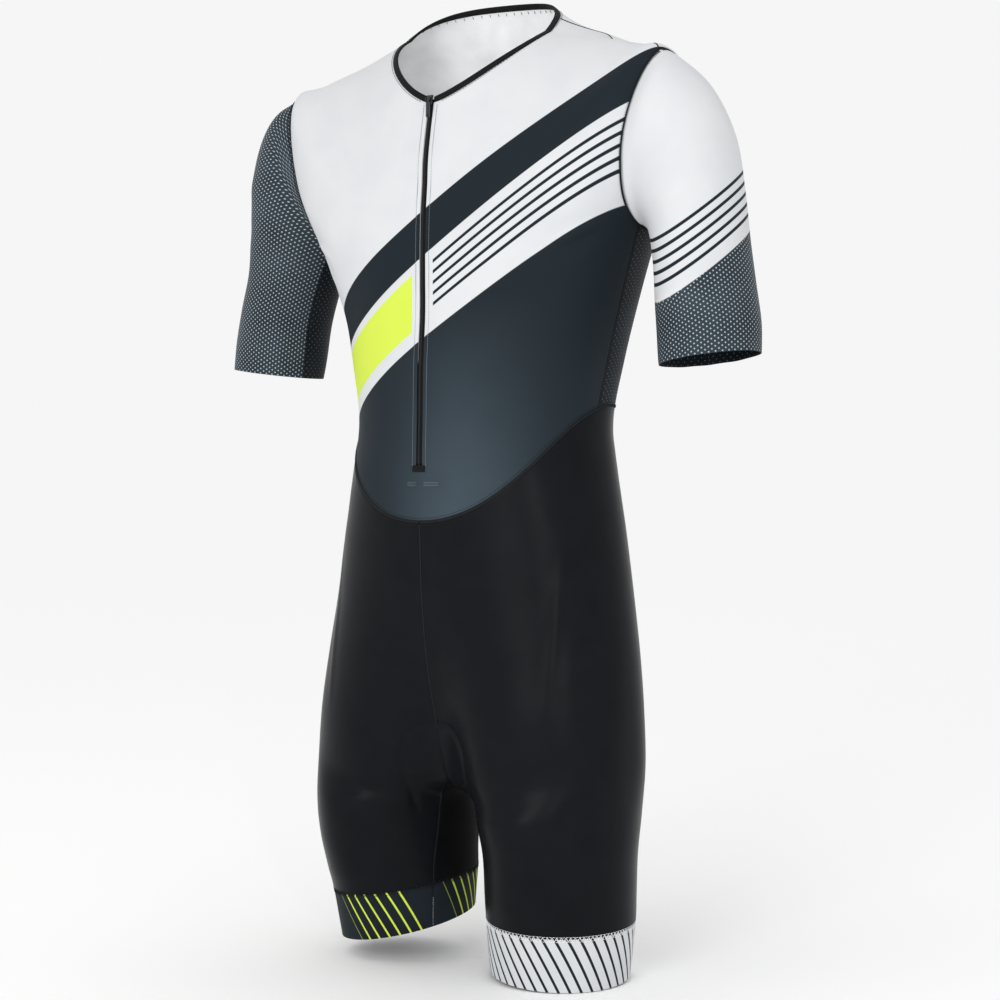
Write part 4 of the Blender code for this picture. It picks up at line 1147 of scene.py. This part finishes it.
def merged(name, parts, body_name, kind="UNION"):
    """Joins parts into one closed piece, and rounds how it shades."""
    whole = parts[0]
    bpy.context.view_layer.objects.active = whole
    for part in parts[1:]:
        weld = whole.modifiers.new("weld", "BOOLEAN")
        weld.operation, weld.solver, weld.object = kind, "EXACT", part
        bpy.ops.object.modifier_apply(modifier=weld.name)
        bpy.data.objects.remove(part)
    whole.name = name
    whole.data.name = name
    bpy.ops.object.select_all(action="DESELECT")
    whole.select_set(True)
    bpy.context.view_layer.objects.active = whole
    bpy.ops.object.shade_smooth_by_angle(angle=math.radians(32))
    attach(whole, body_name)
    return whole


print("block and bar ready")

# %% [markdown]
# ## The foot of the zip
# A small patch covers the end of the coil. Below it two short rows of zigzag take the strain, and
# a straight line of stitches runs up each side of the slit.

# %% End patch, tack and topstitch
PATCH_SIZE, PATCH_BEVEL = (0.0140, 0.0011, 0.0062), 0.0004
TACK_DROP, TACK_ROW, TACK_BEND = 0.0171, 0.0012, 0.02
TACK_STITCH = (0.0017, (0.0022, 0.00045, 0.0004), (48.0, -48.0))
TOPSTITCH = (0.0027, (0.0022, 0.0006, 0.0004))
foot_out, foot_down = Vector(zip_outs[-1]), Vector(lean[-1])
foot = Vector(zip_points[-1])
patch_place = Matrix.Translation(foot + foot_down * 0.003 + foot_out * 0.0006)
patch_lean = Matrix.Rotation(math.atan2(foot_down.y, -foot_down.z), 4, "X")
patch = placed(block(PATCH_SIZE, PATCH_BEVEL), patch_place @ patch_lean)
patch = merged("zip_end_patch", [patch], "suit")
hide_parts("zip_stop")
TRIM.append(patch)
for first, last, word in ((-0.0135, -0.0035, "right"), (0.0055, 0.0225, "left")):
    start = foot + foot_down * TACK_DROP + foot_out * 0.0003
    line = np.array([start + Vector((first, 0, 0)), start + Vector((last, 0, 0))])
    line[:, 1] += np.abs(line[:, 0]) * TACK_BEND
    path = (line, np.array([foot_out, foot_out]))
    for shift, row in ((-TACK_ROW, "lower"), (TACK_ROW, "upper")):
        GREY.append(sew(f"zip_tack_{word}_{row}", path, *TACK_STITCH, shift))
for side, word, torso, leg, arm in SIDES:
    down = np.linspace(0.10, ZIP_FOOT + 0.02, 200)
    edge = on_cloth(torso, angle_at_x(down, SLIT_HALF + TOPSTITCH_IN), down, side, 0.0003)
    GREY.append(sew(f"zip_topstitch_{word}", edge, *TOPSTITCH))
print("zip patch at height", round(float(zip_points[-1][2]), 4))

# %% [markdown]
# ## Slider and pull
# The slider is a small wedge of painted metal: two plates that guide the coil, wider at the top
# where the two halves of the coil enter. Two lugs on its face hold a pin, and the pull swings on
# the pin. The pull is flat, with a hole at its end for a finger cord and three grip ridges. The
# two are separate pieces, because the pull moves.

# %% Slider and pull
slider_low, slider_high = (Vector(v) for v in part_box("zip_slider"))
joint = [j for j in frame["joints"] if j["name"] == "pull_swing"][0]
PIVOT = Vector(joint["pos_m"])
middle = (slider_low + slider_high) / 2
slider_lean = Matrix.Rotation(math.atan2(lean[1][1], -lean[1][2]), 4, "X")
FACE_Y, LUG_X, LUG_Y = PIVOT.y + 0.0018, 0.00215, PIVOT.y + 0.0011
GRIP_TOP, GRIP_APART = 0.0060, 0.0022


def below_pivot(made, drop=0.0):
    return placed(made, Matrix.Translation(PIVOT + Vector((0, 0, -drop))))


plates = []
for behind, size, bevel, taper in (
    (0.0004, (0.0066, 0.0010, 0.0092), 0.00035, 0.74),
    (0.0014, (0.0062, 0.0011, 0.0088), 0.0003, 0.78),
):
    place = Matrix.Translation((0, FACE_Y + behind, middle.z)) @ slider_lean
    plates.append(placed(block(size, bevel, taper=taper), place))
lugs = []
for x in (-LUG_X, LUG_X):
    lugs.append(placed(bar(0.0015, 0.0011), Matrix.Translation((x, PIVOT.y, PIVOT.z))))
    root = block((0.0011, 0.0030, 0.0028), 0.0002)
    lugs.append(placed(root, Matrix.Translation((x, LUG_Y, PIVOT.z))))
pin = below_pivot(bar(0.0004, 0.0052, 12))
slider = merged("zip_slider_body", [*plates, *lugs, pin], "suit")
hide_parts("zip_slider")
tab = below_pivot(block((0.0048, 0.0012, 0.0142), 0.00055, 3), 0.0097)
hole = bar(0.0010, 0.01)
hole.data.transform(Matrix.Rotation(math.pi / 2, 4, "Z"))
tab = merged("zip_pull_tab", [tab, below_pivot(hole, 0.0146)], "pull", "DIFFERENCE")
stem = below_pivot(block((0.0023, 0.0011, 0.0042), 0.0002), 0.0019)
knuckle = below_pivot(bar(0.0009, 0.0024))
grips = [
    below_pivot(block((0.0036, 0.0017, 0.0008), 0.0002), GRIP_TOP + GRIP_APART * i) for i in range(3)
]
pull = merged("zip_pull_tab", [tab, stem, knuckle, *grips], "pull")
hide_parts("zip_pull")
print("slider faces:", len(slider.data.polygons), "pull faces:", len(pull.data.polygons))

# %% [markdown]
# ## The stretch pad
# Inside the crotch lies a soft foam pad, thin at its edges and thickest along its middle. It
# bends with the body under the crotch, from the lower front up to the seat. It is drawn across
# a line just inside the centre seams: each row is a shallow arch, and the ends are rounded.

# %% Pad
PAD_FRONT_Z, PAD_BACK_Z, PAD_BEND = -0.683, -0.640, 0.6
pad_heights = (PAD_FRONT_Z, between(PAD_FRONT_Z, Z_FRONT[CROTCH], PAD_BEND))
front_ends = figure(np.zeros(2), ring_at_height(0.0, np.array(pad_heights)), 1)
seat_heights = np.array((between(PAD_BACK_Z, Z_BACK[CROTCH], PAD_BEND), PAD_BACK_Z))
seat_ends = figure(np.full(2, 180.0), ring_at_height(180.0, seat_heights), 1)
under = figure(np.array((320.0, 270.0, 220.0)), np.full(3, float(CROTCH)), 1, on_leg=True)
spine = np.concatenate((front_ends, under, seat_ends))
spine[:, 0] = 0
PAD_WIDE_HALF, PAD_GAP, PAD_ARCH, PAD_CROWN = 0.036, 0.0015, 0.0038, 0.005
PAD_EDGE, PAD_MIDDLE, PAD_THINNEST, CHANNEL_DEPTH = 0.0020, 0.0060, 0.0012, 0.0009


def pad_line(t):
    return through(lambda k: spine[k], len(spine) - 1, t * (len(spine) - 1))


share = between(0.02, 0.98, np.linspace(0, 1, 90))
pad_ahead = unit(pad_line(share + 0.002) - pad_line(share - 0.002))
inward = np.stack((0 * share, -pad_ahead[:, 2], pad_ahead[:, 1]), 1)
half = PAD_WIDE_HALF * np.sqrt(1 - (2 * share - 1) ** 6)
across = np.linspace(-1, 1, 37)
rows = pad_line(share)[:, None] + np.array((1.0, 0, 0)) * (half[:, None] * across)[..., None]
lift = PAD_GAP + PAD_ARCH - PAD_CROWN * across**2
side_channels = np.exp(-(((np.abs(across) - 0.45) / 0.07) ** 2))
channel = CHANNEL_DEPTH * (side_channels + 0.7 * np.exp(-((across / 0.06) ** 2)))
rise = np.maximum(between(PAD_EDGE, PAD_MIDDLE, 1 - across**2) - channel, PAD_THINNEST)
lower = rows + inward[:, None] * lift[None, :, None]
upper = lower + inward[:, None] * rise[None, :, None]
points = np.concatenate((lower.reshape(-1, 3), upper.reshape(-1, 3)))
faces, _ = shell_faces(grid_quads(*lower.shape[:2]), len(points) // 2)
flat_map = np.tile(metric_uv(rows).reshape(-1, 2), (2, 1))
pad = capped(plain_mesh("stretch_pad", points, faces, flat_map), [])
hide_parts("crotch_pad")
print("pad:", len(faces), "faces")

# %% [markdown]
# ## Numbers that paint cloth
# A printed or knitted pattern is a rule: at this place on the cloth, which yarn or ink shows? In
# a material such a rule is a chain of Math nodes. The small helper below lets the chain be
# written as a formula, so that a stripe, a row of dots or a diagonal edge is one line. Patterns
# that run over several pieces read the place in space, and a knit reads the piece's own map,
# which is in metres along the cloth.


# %% Formula helper
class Amount:
    """A number in a material that can be added, multiplied and compared."""

    def __init__(self, tree, socket):
        self.tree, self.socket = tree, socket

    def apply(self, kind, *others):
        node = self.tree.nodes.new("ShaderNodeMath")
        node.operation = kind
        for i, value in enumerate((self, *others)):
            if isinstance(value, Amount):
                self.tree.links.new(value.socket, node.inputs[i])
            else:
                node.inputs[i].default_value = value
        return Amount(self.tree, node.outputs[0])

    def __add__(self, other):
        return self.apply("ADD", other)

    def __sub__(self, other):
        return self.apply("SUBTRACT", other)

    def __mul__(self, other):
        return self.apply("MULTIPLY", other)

    def __truediv__(self, other):
        return self.apply("DIVIDE", other)

    def fraction(self):
        return self.apply("FRACT")

    def edge(self, soft):
        """0 below zero, 1 above it, over a soft width."""
        ramp = (self / soft + 0.5).apply("MAXIMUM", 0.0)
        return ramp.apply("MINIMUM", 1.0)


def stripes(across, pitch, share, soft=0.0003):
    """Equal stripes: 1 on each stripe, which fills a share of the pitch."""
    distance = ((across / pitch).fraction() - 0.5).apply("ABSOLUTE")
    return (distance * -1.0 + share / 2).edge(soft / pitch)


def band(across, low, high, soft=0.0005):
    return (across - low).edge(soft) * (across * -1.0 + high).edge(soft)


def dots(u, v, wide, tall, radius, soft=0.0004):
    """Staggered rows of round dots."""
    row = v / tall
    shift = row.apply("FLOOR").apply("MODULO", 2.0) * 0.5
    du = ((u / wide + shift).fraction() - 0.5) * wide
    dv = (row.fraction() - 0.5) * tall
    distance = (du * du + dv * dv).apply("SQRT")
    return (distance * -1.0 + radius).edge(soft)


def blend_colour(tree, share, first, second):
    """first where share is 0, second where it is 1. Each is a colour or another blend."""
    node = tree.nodes.new("ShaderNodeMix")
    node.data_type = "RGBA"
    tree.links.new(share.socket, node.inputs["Factor"])
    for name, value in (("A", first), ("B", second)):
        socket = [s for s in node.inputs if s.name == name and s.type == "RGBA"][0]
        if isinstance(value, tuple):
            socket.default_value = value
        else:
            tree.links.new(value, socket)
    return [s for s in node.outputs if s.type == "RGBA"][0]


def split(tree, vector):
    node = tree.nodes.new("ShaderNodeSeparateXYZ")
    tree.links.new(vector, node.inputs[0])
    return [Amount(tree, s) for s in node.outputs]


def noise(tree, vector, scale, detail=3.0):
    node = tree.nodes.new("ShaderNodeTexNoise")
    node.inputs["Scale"].default_value = scale
    node.inputs["Detail"].default_value = detail
    tree.links.new(vector, node.inputs["Vector"])
    return Amount(tree, node.outputs["Fac"])


print("formula helper ready")

# %% [markdown]
# ## Knit, mesh and print
# All the cloth is warp-knitted nylon or polyester with elastane. Close up it has fine upright
# ribs of loops, under a millimetre apart. A bump from two sine waves gives them. White parts
# are transfer-printed on a matt face. The shorts are a heavier, smoother knit that shines softly
# where it is stretched, so they get a low roughness and almost no bump. The mesh has staggered
# rows of small holes, which look like pale dots over the dark yarn, and fewer, fainter ones on
# the side panels. The linings stay plain.

# %% Knit finishes
WHITE = (0.64, 0.65, 0.665, 1)
WHITE_SHADE = (0.59, 0.605, 0.625, 1)
# painted light: the lining white is brighter than the same white cloth outside, so that the inside of
# the neck, which lies in shade, looks lit
LINING_PAINTED_LIGHT_WHITE = (0.87, 0.88, 0.885, 1)
SLATE = (0.0125, 0.0185, 0.0235, 1)
SLATE_LIGHT = (0.050, 0.070, 0.087, 1)
NEON = (0.60, 0.74, 0.080, 1)
BLACK = (0.0068, 0.0073, 0.0090, 1)
BLACK_SOFT = (0.0088, 0.0094, 0.0115, 1)
# painted shade: a darker black for the inner leg panels and the inside of the shorts, where they lie in
# shade between the thighs
BLACK_PAINTED_SHADE = (0.0040, 0.0040, 0.0042, 1)
MESH_YARN = (0.036, 0.050, 0.061, 1)
MESH_DEEP = (0.0080, 0.0095, 0.0125, 1)
MESH_DOT = (0.40, 0.45, 0.49, 1)


def blank_finish(name):
    """A new material, its nodes, its shader and the place on the suit."""
    made = bpy.data.materials.new(name)
    made.use_nodes = True
    tree = made.node_tree
    place = tree.nodes.new("ShaderNodeTexCoord").outputs["Object"]
    return made, tree, tree.nodes["Principled BSDF"], place


def feel(tree, shader, rough, height, strength, depth, specular):
    """How rough, how bumpy and how glossy a finish is."""
    tree.links.new(rough.socket, shader.inputs["Roughness"])
    bump = tree.nodes.new("ShaderNodeBump")
    bump.inputs["Strength"].default_value = strength
    bump.inputs["Distance"].default_value = depth
    tree.links.new(height.socket, bump.inputs["Height"])
    tree.links.new(bump.outputs["Normal"], shader.inputs["Normal"])
    shader.inputs["Specular IOR Level"].default_value = specular


def knit(name, paint, roughness, sheen, rib=0.00085, depth=0.00012, specular=0.06):
    """A cloth whose colour is painted by a formula of place and cloth map."""
    made, tree, shader, place = blank_finish(name)
    cloth_map = tree.nodes.new("ShaderNodeUVMap")
    cloth_map.uv_map = "cloth"
    x, y, z = split(tree, place)
    u, v, _ = split(tree, cloth_map.outputs["UV"])
    tree.links.new(paint(tree, place, (x, y, z), (u, v)), shader.inputs["Base Color"])
    ripple = 2 * math.pi / rib
    loops = (u * ripple).apply("SINE") * (v * (ripple / 1.3)).apply("SINE")
    rough = noise(tree, place, 34.0) * 0.12 + (roughness - 0.06)
    height = loops * 0.5 + noise(tree, place, 900.0, 2.0)
    feel(tree, shader, rough, height, 0.35, depth, specular)
    shader.inputs["Sheen Weight"].default_value = sheen
    shader.inputs["Sheen Roughness"].default_value = 0.35
    return made


print("each knit sets its colour formula, roughness, sheen, bump and gloss")

# %% [markdown]
# ## The print
# The print is plain colour blocking: one straight diagonal edge all round the body, bars that
# run along it, and pinstripes of one width. Each rule below is a cloth's colour as a formula of
# the place on the suit, or of the cloth's own map. Ink is a little uneven, so a faint noise moves
# the colour.


# %% Colour rules
DIAGONAL_AT, DIAGONAL_SLOPE = -0.322, 0.65  # height at the centre front, and rise to the left
DIAGONAL_TURN = math.cos(math.atan(DIAGONAL_SLOPE))
INK_EDGE = 0.0006
MIDDLE_GAP = 0.012  # from the zip to where the pinstripes and the lime bar start
PIN_PITCH, PIN_SHARE = 0.0082, 0.34
# where the pinstripes, the slate bar and the lime bars start and end, up from the diagonal edge
PINS, BAR, LIME, LIME_BACK = (0.0140, 0.0550), (0.064, 0.100), (0.012, 0.057), (0.012, 0.030)
SLEEVE_LEAN = (0.397, 0.4535, 0.798)  # the slanted plane that cuts the left sleeve's print
SLEEVE_EDGE_AT, SLEEVE_PINS = 0.2998, (0.010, 0.049)
BAND_SLANT, BAND_PITCH, BLOCK_PITCH, BLOCK_START = 0.45, 0.0105, 0.105, 0.012


def uneven(tree, place, colour, other, scale=26.0):
    """Ink or dye that is a little uneven."""
    return blend_colour(tree, (noise(tree, place, scale) - 0.5) * 1.6 + 0.35, colour, other)


def slate_print_with_painted_side_shade(tree, place, x, z):
    """Slate print that grows lighter towards the waist, and darker again towards the sides, which is
    partly the print and partly painted shade where the body turns from the light.
    """
    aside = (x - 0.04) / 0.062
    # partly painted shade: the fall-off to the sides darkens the slate as the body turns away from the
    # light, on top of the printed gradient towards the waist
    fade = (z * -1.0 - 0.38).edge(0.20) * (aside * aside * -1.0).apply("EXPONENT")
    deep = blend_colour(tree, fade, SLATE, SLATE_LIGHT)
    return blend_colour(tree, (noise(tree, place, 22.0) - 0.45) * 0.5, deep, SLATE)


def body_blocks(tree, place, xyz, details):
    """Slate below the diagonal edge and in a bar above it, and white with details between."""
    x, _, z = xyz
    up = (z - x * DIAGONAL_SLOPE - DIAGONAL_AT) * DIAGONAL_TURN
    slate = slate_print_with_painted_side_shade(tree, place, x, z)
    colour = details(x, up, uneven(tree, place, WHITE, WHITE_SHADE), slate)
    return blend_colour(tree, (up * -1.0).edge(INK_EDGE), colour, slate)


def front_print(tree, place, xyz, uv):
    def details(x, up, white, slate):
        pins = stripes(up, PIN_PITCH, PIN_SHARE) * band(up, *PINS)
        pins = pins * (x - MIDDLE_GAP).edge(INK_EDGE)
        colour = blend_colour(tree, pins, white, SLATE)
        colour = blend_colour(tree, band(up, *BAR), colour, slate)
        lime = band(up, *LIME) * (x * -1.0 - MIDDLE_GAP).edge(INK_EDGE)
        return blend_colour(tree, lime, colour, NEON)

    return body_blocks(tree, place, xyz, details)


def back_print(tree, place, xyz, uv):
    def details(x, up, white, slate):
        colour = blend_colour(tree, band(up, *BAR), white, slate)
        return blend_colour(tree, band(up, *LIME_BACK), colour, NEON)

    return body_blocks(tree, place, xyz, details)


# painted light: mostly the brighter lining white, standing in for light that falls into the neck
def inside_white_painted_light(tree, place, xyz, uv):
    return uneven(tree, place, LINING_PAINTED_LIGHT_WHITE, WHITE)


def mesh_paint(tree, place, xyz, uv):
    yarn = uneven(tree, place, MESH_YARN, SLATE)
    return blend_colour(tree, dots(*uv, 0.0060, 0.0022, 0.00068), yarn, MESH_DOT)


def side_mesh_paint(tree, place, xyz, uv):
    yarn = uneven(tree, place, MESH_DEEP, SLATE)
    return blend_colour(tree, dots(*uv, 0.0066, 0.0030, 0.0005) * 0.3, yarn, MESH_DOT)


def left_sleeve_print(tree, place, xyz, uv):
    """White above a straight slanted edge with pinstripes along it, mesh below."""
    x, y, z = xyz
    lean_x, lean_y, lean_z = SLEEVE_LEAN
    up = z * lean_z - x * lean_x - y * lean_y + SLEEVE_EDGE_AT
    white = uneven(tree, place, WHITE, WHITE_SHADE)
    pins = stripes(up, PIN_PITCH, PIN_SHARE) * band(up, *SLEEVE_PINS)
    colour = blend_colour(tree, pins, white, SLATE)
    mesh = mesh_paint(tree, place, xyz, uv)
    return blend_colour(tree, (up * -1.0).edge(INK_EDGE), colour, mesh)


def black_paint(tree, place, xyz, uv):
    return uneven(tree, place, BLACK, BLACK_SOFT, 40.0)


# painted shade: darker than the shorts' black, for the cloth between the thighs
def black_with_painted_shade(tree, place, xyz, uv):
    return uneven(tree, place, BLACK_PAINTED_SHADE, BLACK, 40.0)


def left_band_print(tree, place, xyz, uv):
    u, v = uv
    white = uneven(tree, place, WHITE, WHITE_SHADE)
    return blend_colour(tree, stripes(u + v * BAND_SLANT, BAND_PITCH, 0.26), white, SLATE)


def right_band_print(tree, place, xyz, uv):
    """Lime lines on slate, and blocks over them that are slate and lime in turn."""
    u, v = uv
    slant = u + v * BAND_SLANT
    yarn = uneven(tree, place, SLATE, MESH_DEEP)
    colour = blend_colour(tree, stripes(slant, BAND_PITCH, 0.18), yarn, NEON)
    from_block = slant + BLOCK_START
    block = stripes(from_block, BLOCK_PITCH, 0.34, INK_EDGE)
    lime = stripes(from_block, 2 * BLOCK_PITCH, 0.17, INK_EDGE)
    return blend_colour(tree, block, colour, blend_colour(tree, lime, SLATE, NEON))


print("colour rules for the front, the back, the sleeves, the shorts and the bands")

# %% [markdown]
# ## Which cloth gets which finish
# Every panel has one finish outside and one inside. The printed panels are white inside, in a
# white painted brighter than their outside as painted light, for the inside of the neck that lies
# in shade. The mesh shows only its dark yarn there, and the shorts and inner legs are black; the
# inner legs' black is darker, as painted shade where they lie between the thighs.

# %% Finishes of the panels
FRONT_KNIT = knit("printed_front_knit", front_print, 0.55, 0.02)
BACK_KNIT = knit("printed_back_knit", back_print, 0.55, 0.02)
# painted light: the lining finish is brighter than the white outside, standing in for light falling
# into the neck
LINING_PAINTED_LIGHT = knit("white_knit_inside_painted_light", inside_white_painted_light, 0.7, 0.02)
SLATE_MESH = knit("slate_sleeve_mesh", mesh_paint, 0.5, 0.02)
SIDE_MESH = knit("dark_side_mesh", side_mesh_paint, 0.55, 0.02)
LEFT_SLEEVE = knit("printed_sleeve_mesh", left_sleeve_print, 0.55, 0.02)
SHORTS_KNIT = knit(
    "black_shorts_knit", black_paint, 0.31, 0.0, rib=0.0007, depth=0.00003, specular=0.045
)
# painted shade: the inner leg finish is darker than the shorts, standing in for the shade between the
# thighs
INNER_KNIT_PAINTED_SHADE = knit("black_inner_knit_painted_shade", black_with_painted_shade, 0.6, 0.0, specular=0.03)
LEFT_BAND = knit("printed_band_white", left_band_print, 0.6, 0.02)
RIGHT_BAND = knit("printed_band_slate", right_band_print, 0.6, 0.02)
LOOKS = {
    "front_panel": (FRONT_KNIT, LINING_PAINTED_LIGHT, "white_knit"),
    "back_panel": (BACK_KNIT, LINING_PAINTED_LIGHT, "white_knit"),
    "sleeve_left": (LEFT_SLEEVE, SIDE_MESH, "slate_mesh"),
    "sleeve_right": (SLATE_MESH, SIDE_MESH, "slate_mesh"),
    "leg_band_left": (LEFT_BAND, LINING_PAINTED_LIGHT, "white_knit"),
    "leg_band_right": (RIGHT_BAND, SIDE_MESH, "slate_mesh"),
}
for _, word in LEFT_RIGHT:
    LOOKS[f"side_panel_{word}"] = (SIDE_MESH, SIDE_MESH, "slate_mesh")
    LOOKS[f"under_sleeve_{word}"] = (SIDE_MESH, SIDE_MESH, "slate_mesh")
    LOOKS[f"shorts_{word}"] = (SHORTS_KNIT, INNER_KNIT_PAINTED_SHADE, "black_knit")
    LOOKS[f"inner_leg_{word}"] = (INNER_KNIT_PAINTED_SHADE, INNER_KNIT_PAINTED_SHADE, "black_knit")
for node, (outside, inside, slot) in LOOKS.items():
    PIECES[node].data.materials.append(outside)
    PIECES[node].data.materials.append(inside)
print("cloth finishes:", len({m.name for m, _, _ in LOOKS.values()}))

# %% [markdown]
# ## Thread, tape and zip finishes
# Thread is a twisted yarn with a slight shine. The binding and the zip tape are fine twill. The
# slider is painted metal, and the coil is smooth plastic.


# %% Trim finishes
def simple(name, colour, roughness, metallic=0.0, grain=1400.0, bump_depth=0.00005, specular=0.08):
    """A small part's finish: one colour, worn unevenly, with a fine grain."""
    made, tree, shader, place = blank_finish(name)
    paler = tuple(min(1.0, c * 1.5 + 0.004) for c in colour[:3]) + (1,)
    worn = blend_colour(tree, noise(tree, place, 160.0) * 0.8, colour, paler)
    tree.links.new(worn, shader.inputs["Base Color"])
    rough = noise(tree, place, 90.0) * 0.14 + (roughness - 0.07)
    feel(tree, shader, rough, noise(tree, place, grain), 0.3, bump_depth, specular)
    shader.inputs["Metallic"].default_value = metallic
    return made


DARK_THREAD = simple("dark_thread", (0.010, 0.011, 0.013, 1), 0.55)
WHITE_THREAD = simple("white_thread", (0.72, 0.73, 0.75, 1), 0.6)
GREY_THREAD = simple("grey_thread", (0.16, 0.18, 0.20, 1), 0.6)
RIB_CLOTH = simple("seam_rib_cloth", (0.010, 0.011, 0.013, 1), 0.65)
for pieces, look, slot in (
    (DARK, DARK_THREAD, "black_trim"),
    (PALE, WHITE_THREAD, "white_knit"),
    (GREY, GREY_THREAD, "white_knit"),
    (RIBS, RIB_CLOTH, "black_trim"),
):
    for piece in pieces:
        piece.data.materials.append(look)
print("thread finishes on", len(DARK) + len(PALE) + len(GREY) + len(RIBS), "pieces")

# %% Trim, zip and pad looks
TWILL = simple("black_twill_tape", (0.0055, 0.0055, 0.0060, 1), 0.65)
NYLON = simple("black_nylon_coil", (0.006, 0.006, 0.008, 1), 0.35, grain=500.0, specular=0.4)
PAINTED = simple(
    "dark_painted_metal", (0.020, 0.021, 0.024, 1), 0.36, 0.35,
    grain=700.0, bump_depth=0.00002, specular=0.5,
)
FOAM = simple("grey_pad_knit", (0.050, 0.052, 0.058, 1), 0.8, grain=1100.0, bump_depth=0.0001)
for piece in TRIM:
    piece.data.materials.append(TWILL)
for piece, look, slot in (
    (coil, NYLON, "black_trim"),
    (slider, PAINTED, "black_metal"),
    (pull, PAINTED, "black_metal"),
    (pad, FOAM, "pad_foam"),
):
    piece.data.materials.clear()
    piece.data.materials.append(look)
print("trim pieces:", len(TRIM))

# %% [markdown]
# ## What was cut
# The size each cloth piece was cut to is worked out and printed. The suit is cut smaller than the
# body and stretches on it. The stretch is a guess: about an eighth round the body and a twentieth
# along it.

# %% Cut sizes
STRETCH_ROUND, STRETCH_ALONG = 1.12, 1.05
for node, piece in PIECES.items():
    wide, long = SPANS[node]
    cut = (wide / STRETCH_ROUND, long / STRETCH_ALONG)
    area = min(AREAS[node] / STRETCH_ROUND / STRETCH_ALONG, cut[0] * cut[1])
    print(node, "cut", round(cut[0], 3), "by", round(cut[1], 3), "m,", round(area * 1e4), "cm2")

# %% [markdown]
# ## Floor and light
# The suit stands on a plain white floor in even white light, which has no edge or horizon of its
# own. A large soft light near the camera models the folds. A tiny lamp inside the suit lights the
# lining that shows in the neck, as light falling in would. A narrow upright light far to the
# camera's right draws the soft streak on the thigh of the black shorts.

# %% Floor and studio
FLOOR_GAP, FLOOR_WIDE, STUDIO_WHITE = 0.0005, 60, 0.92
FLOOR_Z = cad_low[2] - FLOOR_GAP
bpy.ops.object.select_all(action="DESELECT")
bpy.ops.mesh.primitive_plane_add(size=FLOOR_WIDE, location=(0, 0, FLOOR_Z))
floor = bpy.context.active_object
floor.name = "floor"
paper = bpy.data.materials.new("paper")
paper.use_nodes = True
paper_shader = paper.node_tree.nodes["Principled BSDF"]
paper_shader.inputs["Base Color"].default_value = (1, 1, 1, 1)
paper_shader.inputs["Roughness"].default_value = 1.0
paper_shader.inputs["Specular IOR Level"].default_value = 0.0
floor.data.materials.append(paper)
world = bpy.data.worlds.new("studio")
world.use_nodes = True
studio = world.node_tree.nodes["Background"]
studio.inputs["Color"].default_value = (1, 1, 1, 1)
studio.inputs["Strength"].default_value = STUDIO_WHITE
bpy.context.scene.world = world
print("floor at", round(FLOOR_Z, 4))


# %% Lights
def soft_light(name, place, aim, wide, tall, power):
    """A rectangular light that faces the point it is aimed at."""
    data = bpy.data.lights.new(name, "AREA")
    data.energy = power
    data.shape = "RECTANGLE"
    data.size, data.size_y = wide, tall
    lamp = linked(name, data)
    lamp.location = place
    lamp.rotation_euler = (Vector(aim) - Vector(place)).to_track_quat("-Z", "Y").to_euler()
    print(name, "light:", power, "W,", wide, "by", tall, "m")


soft_light("key", (0.55, -2.35, 0.20), (0, 0, -0.44), 0.9, 0.9, 16)
soft_light("neck", (0, -0.05, -0.20), (0, 0.04, -0.03), 0.04, 0.04, 0.13)
soft_light("streak", (1.62, -1.73, -0.08), (0.12, -0.07, -0.60), 0.05, 0.5, 5.0)
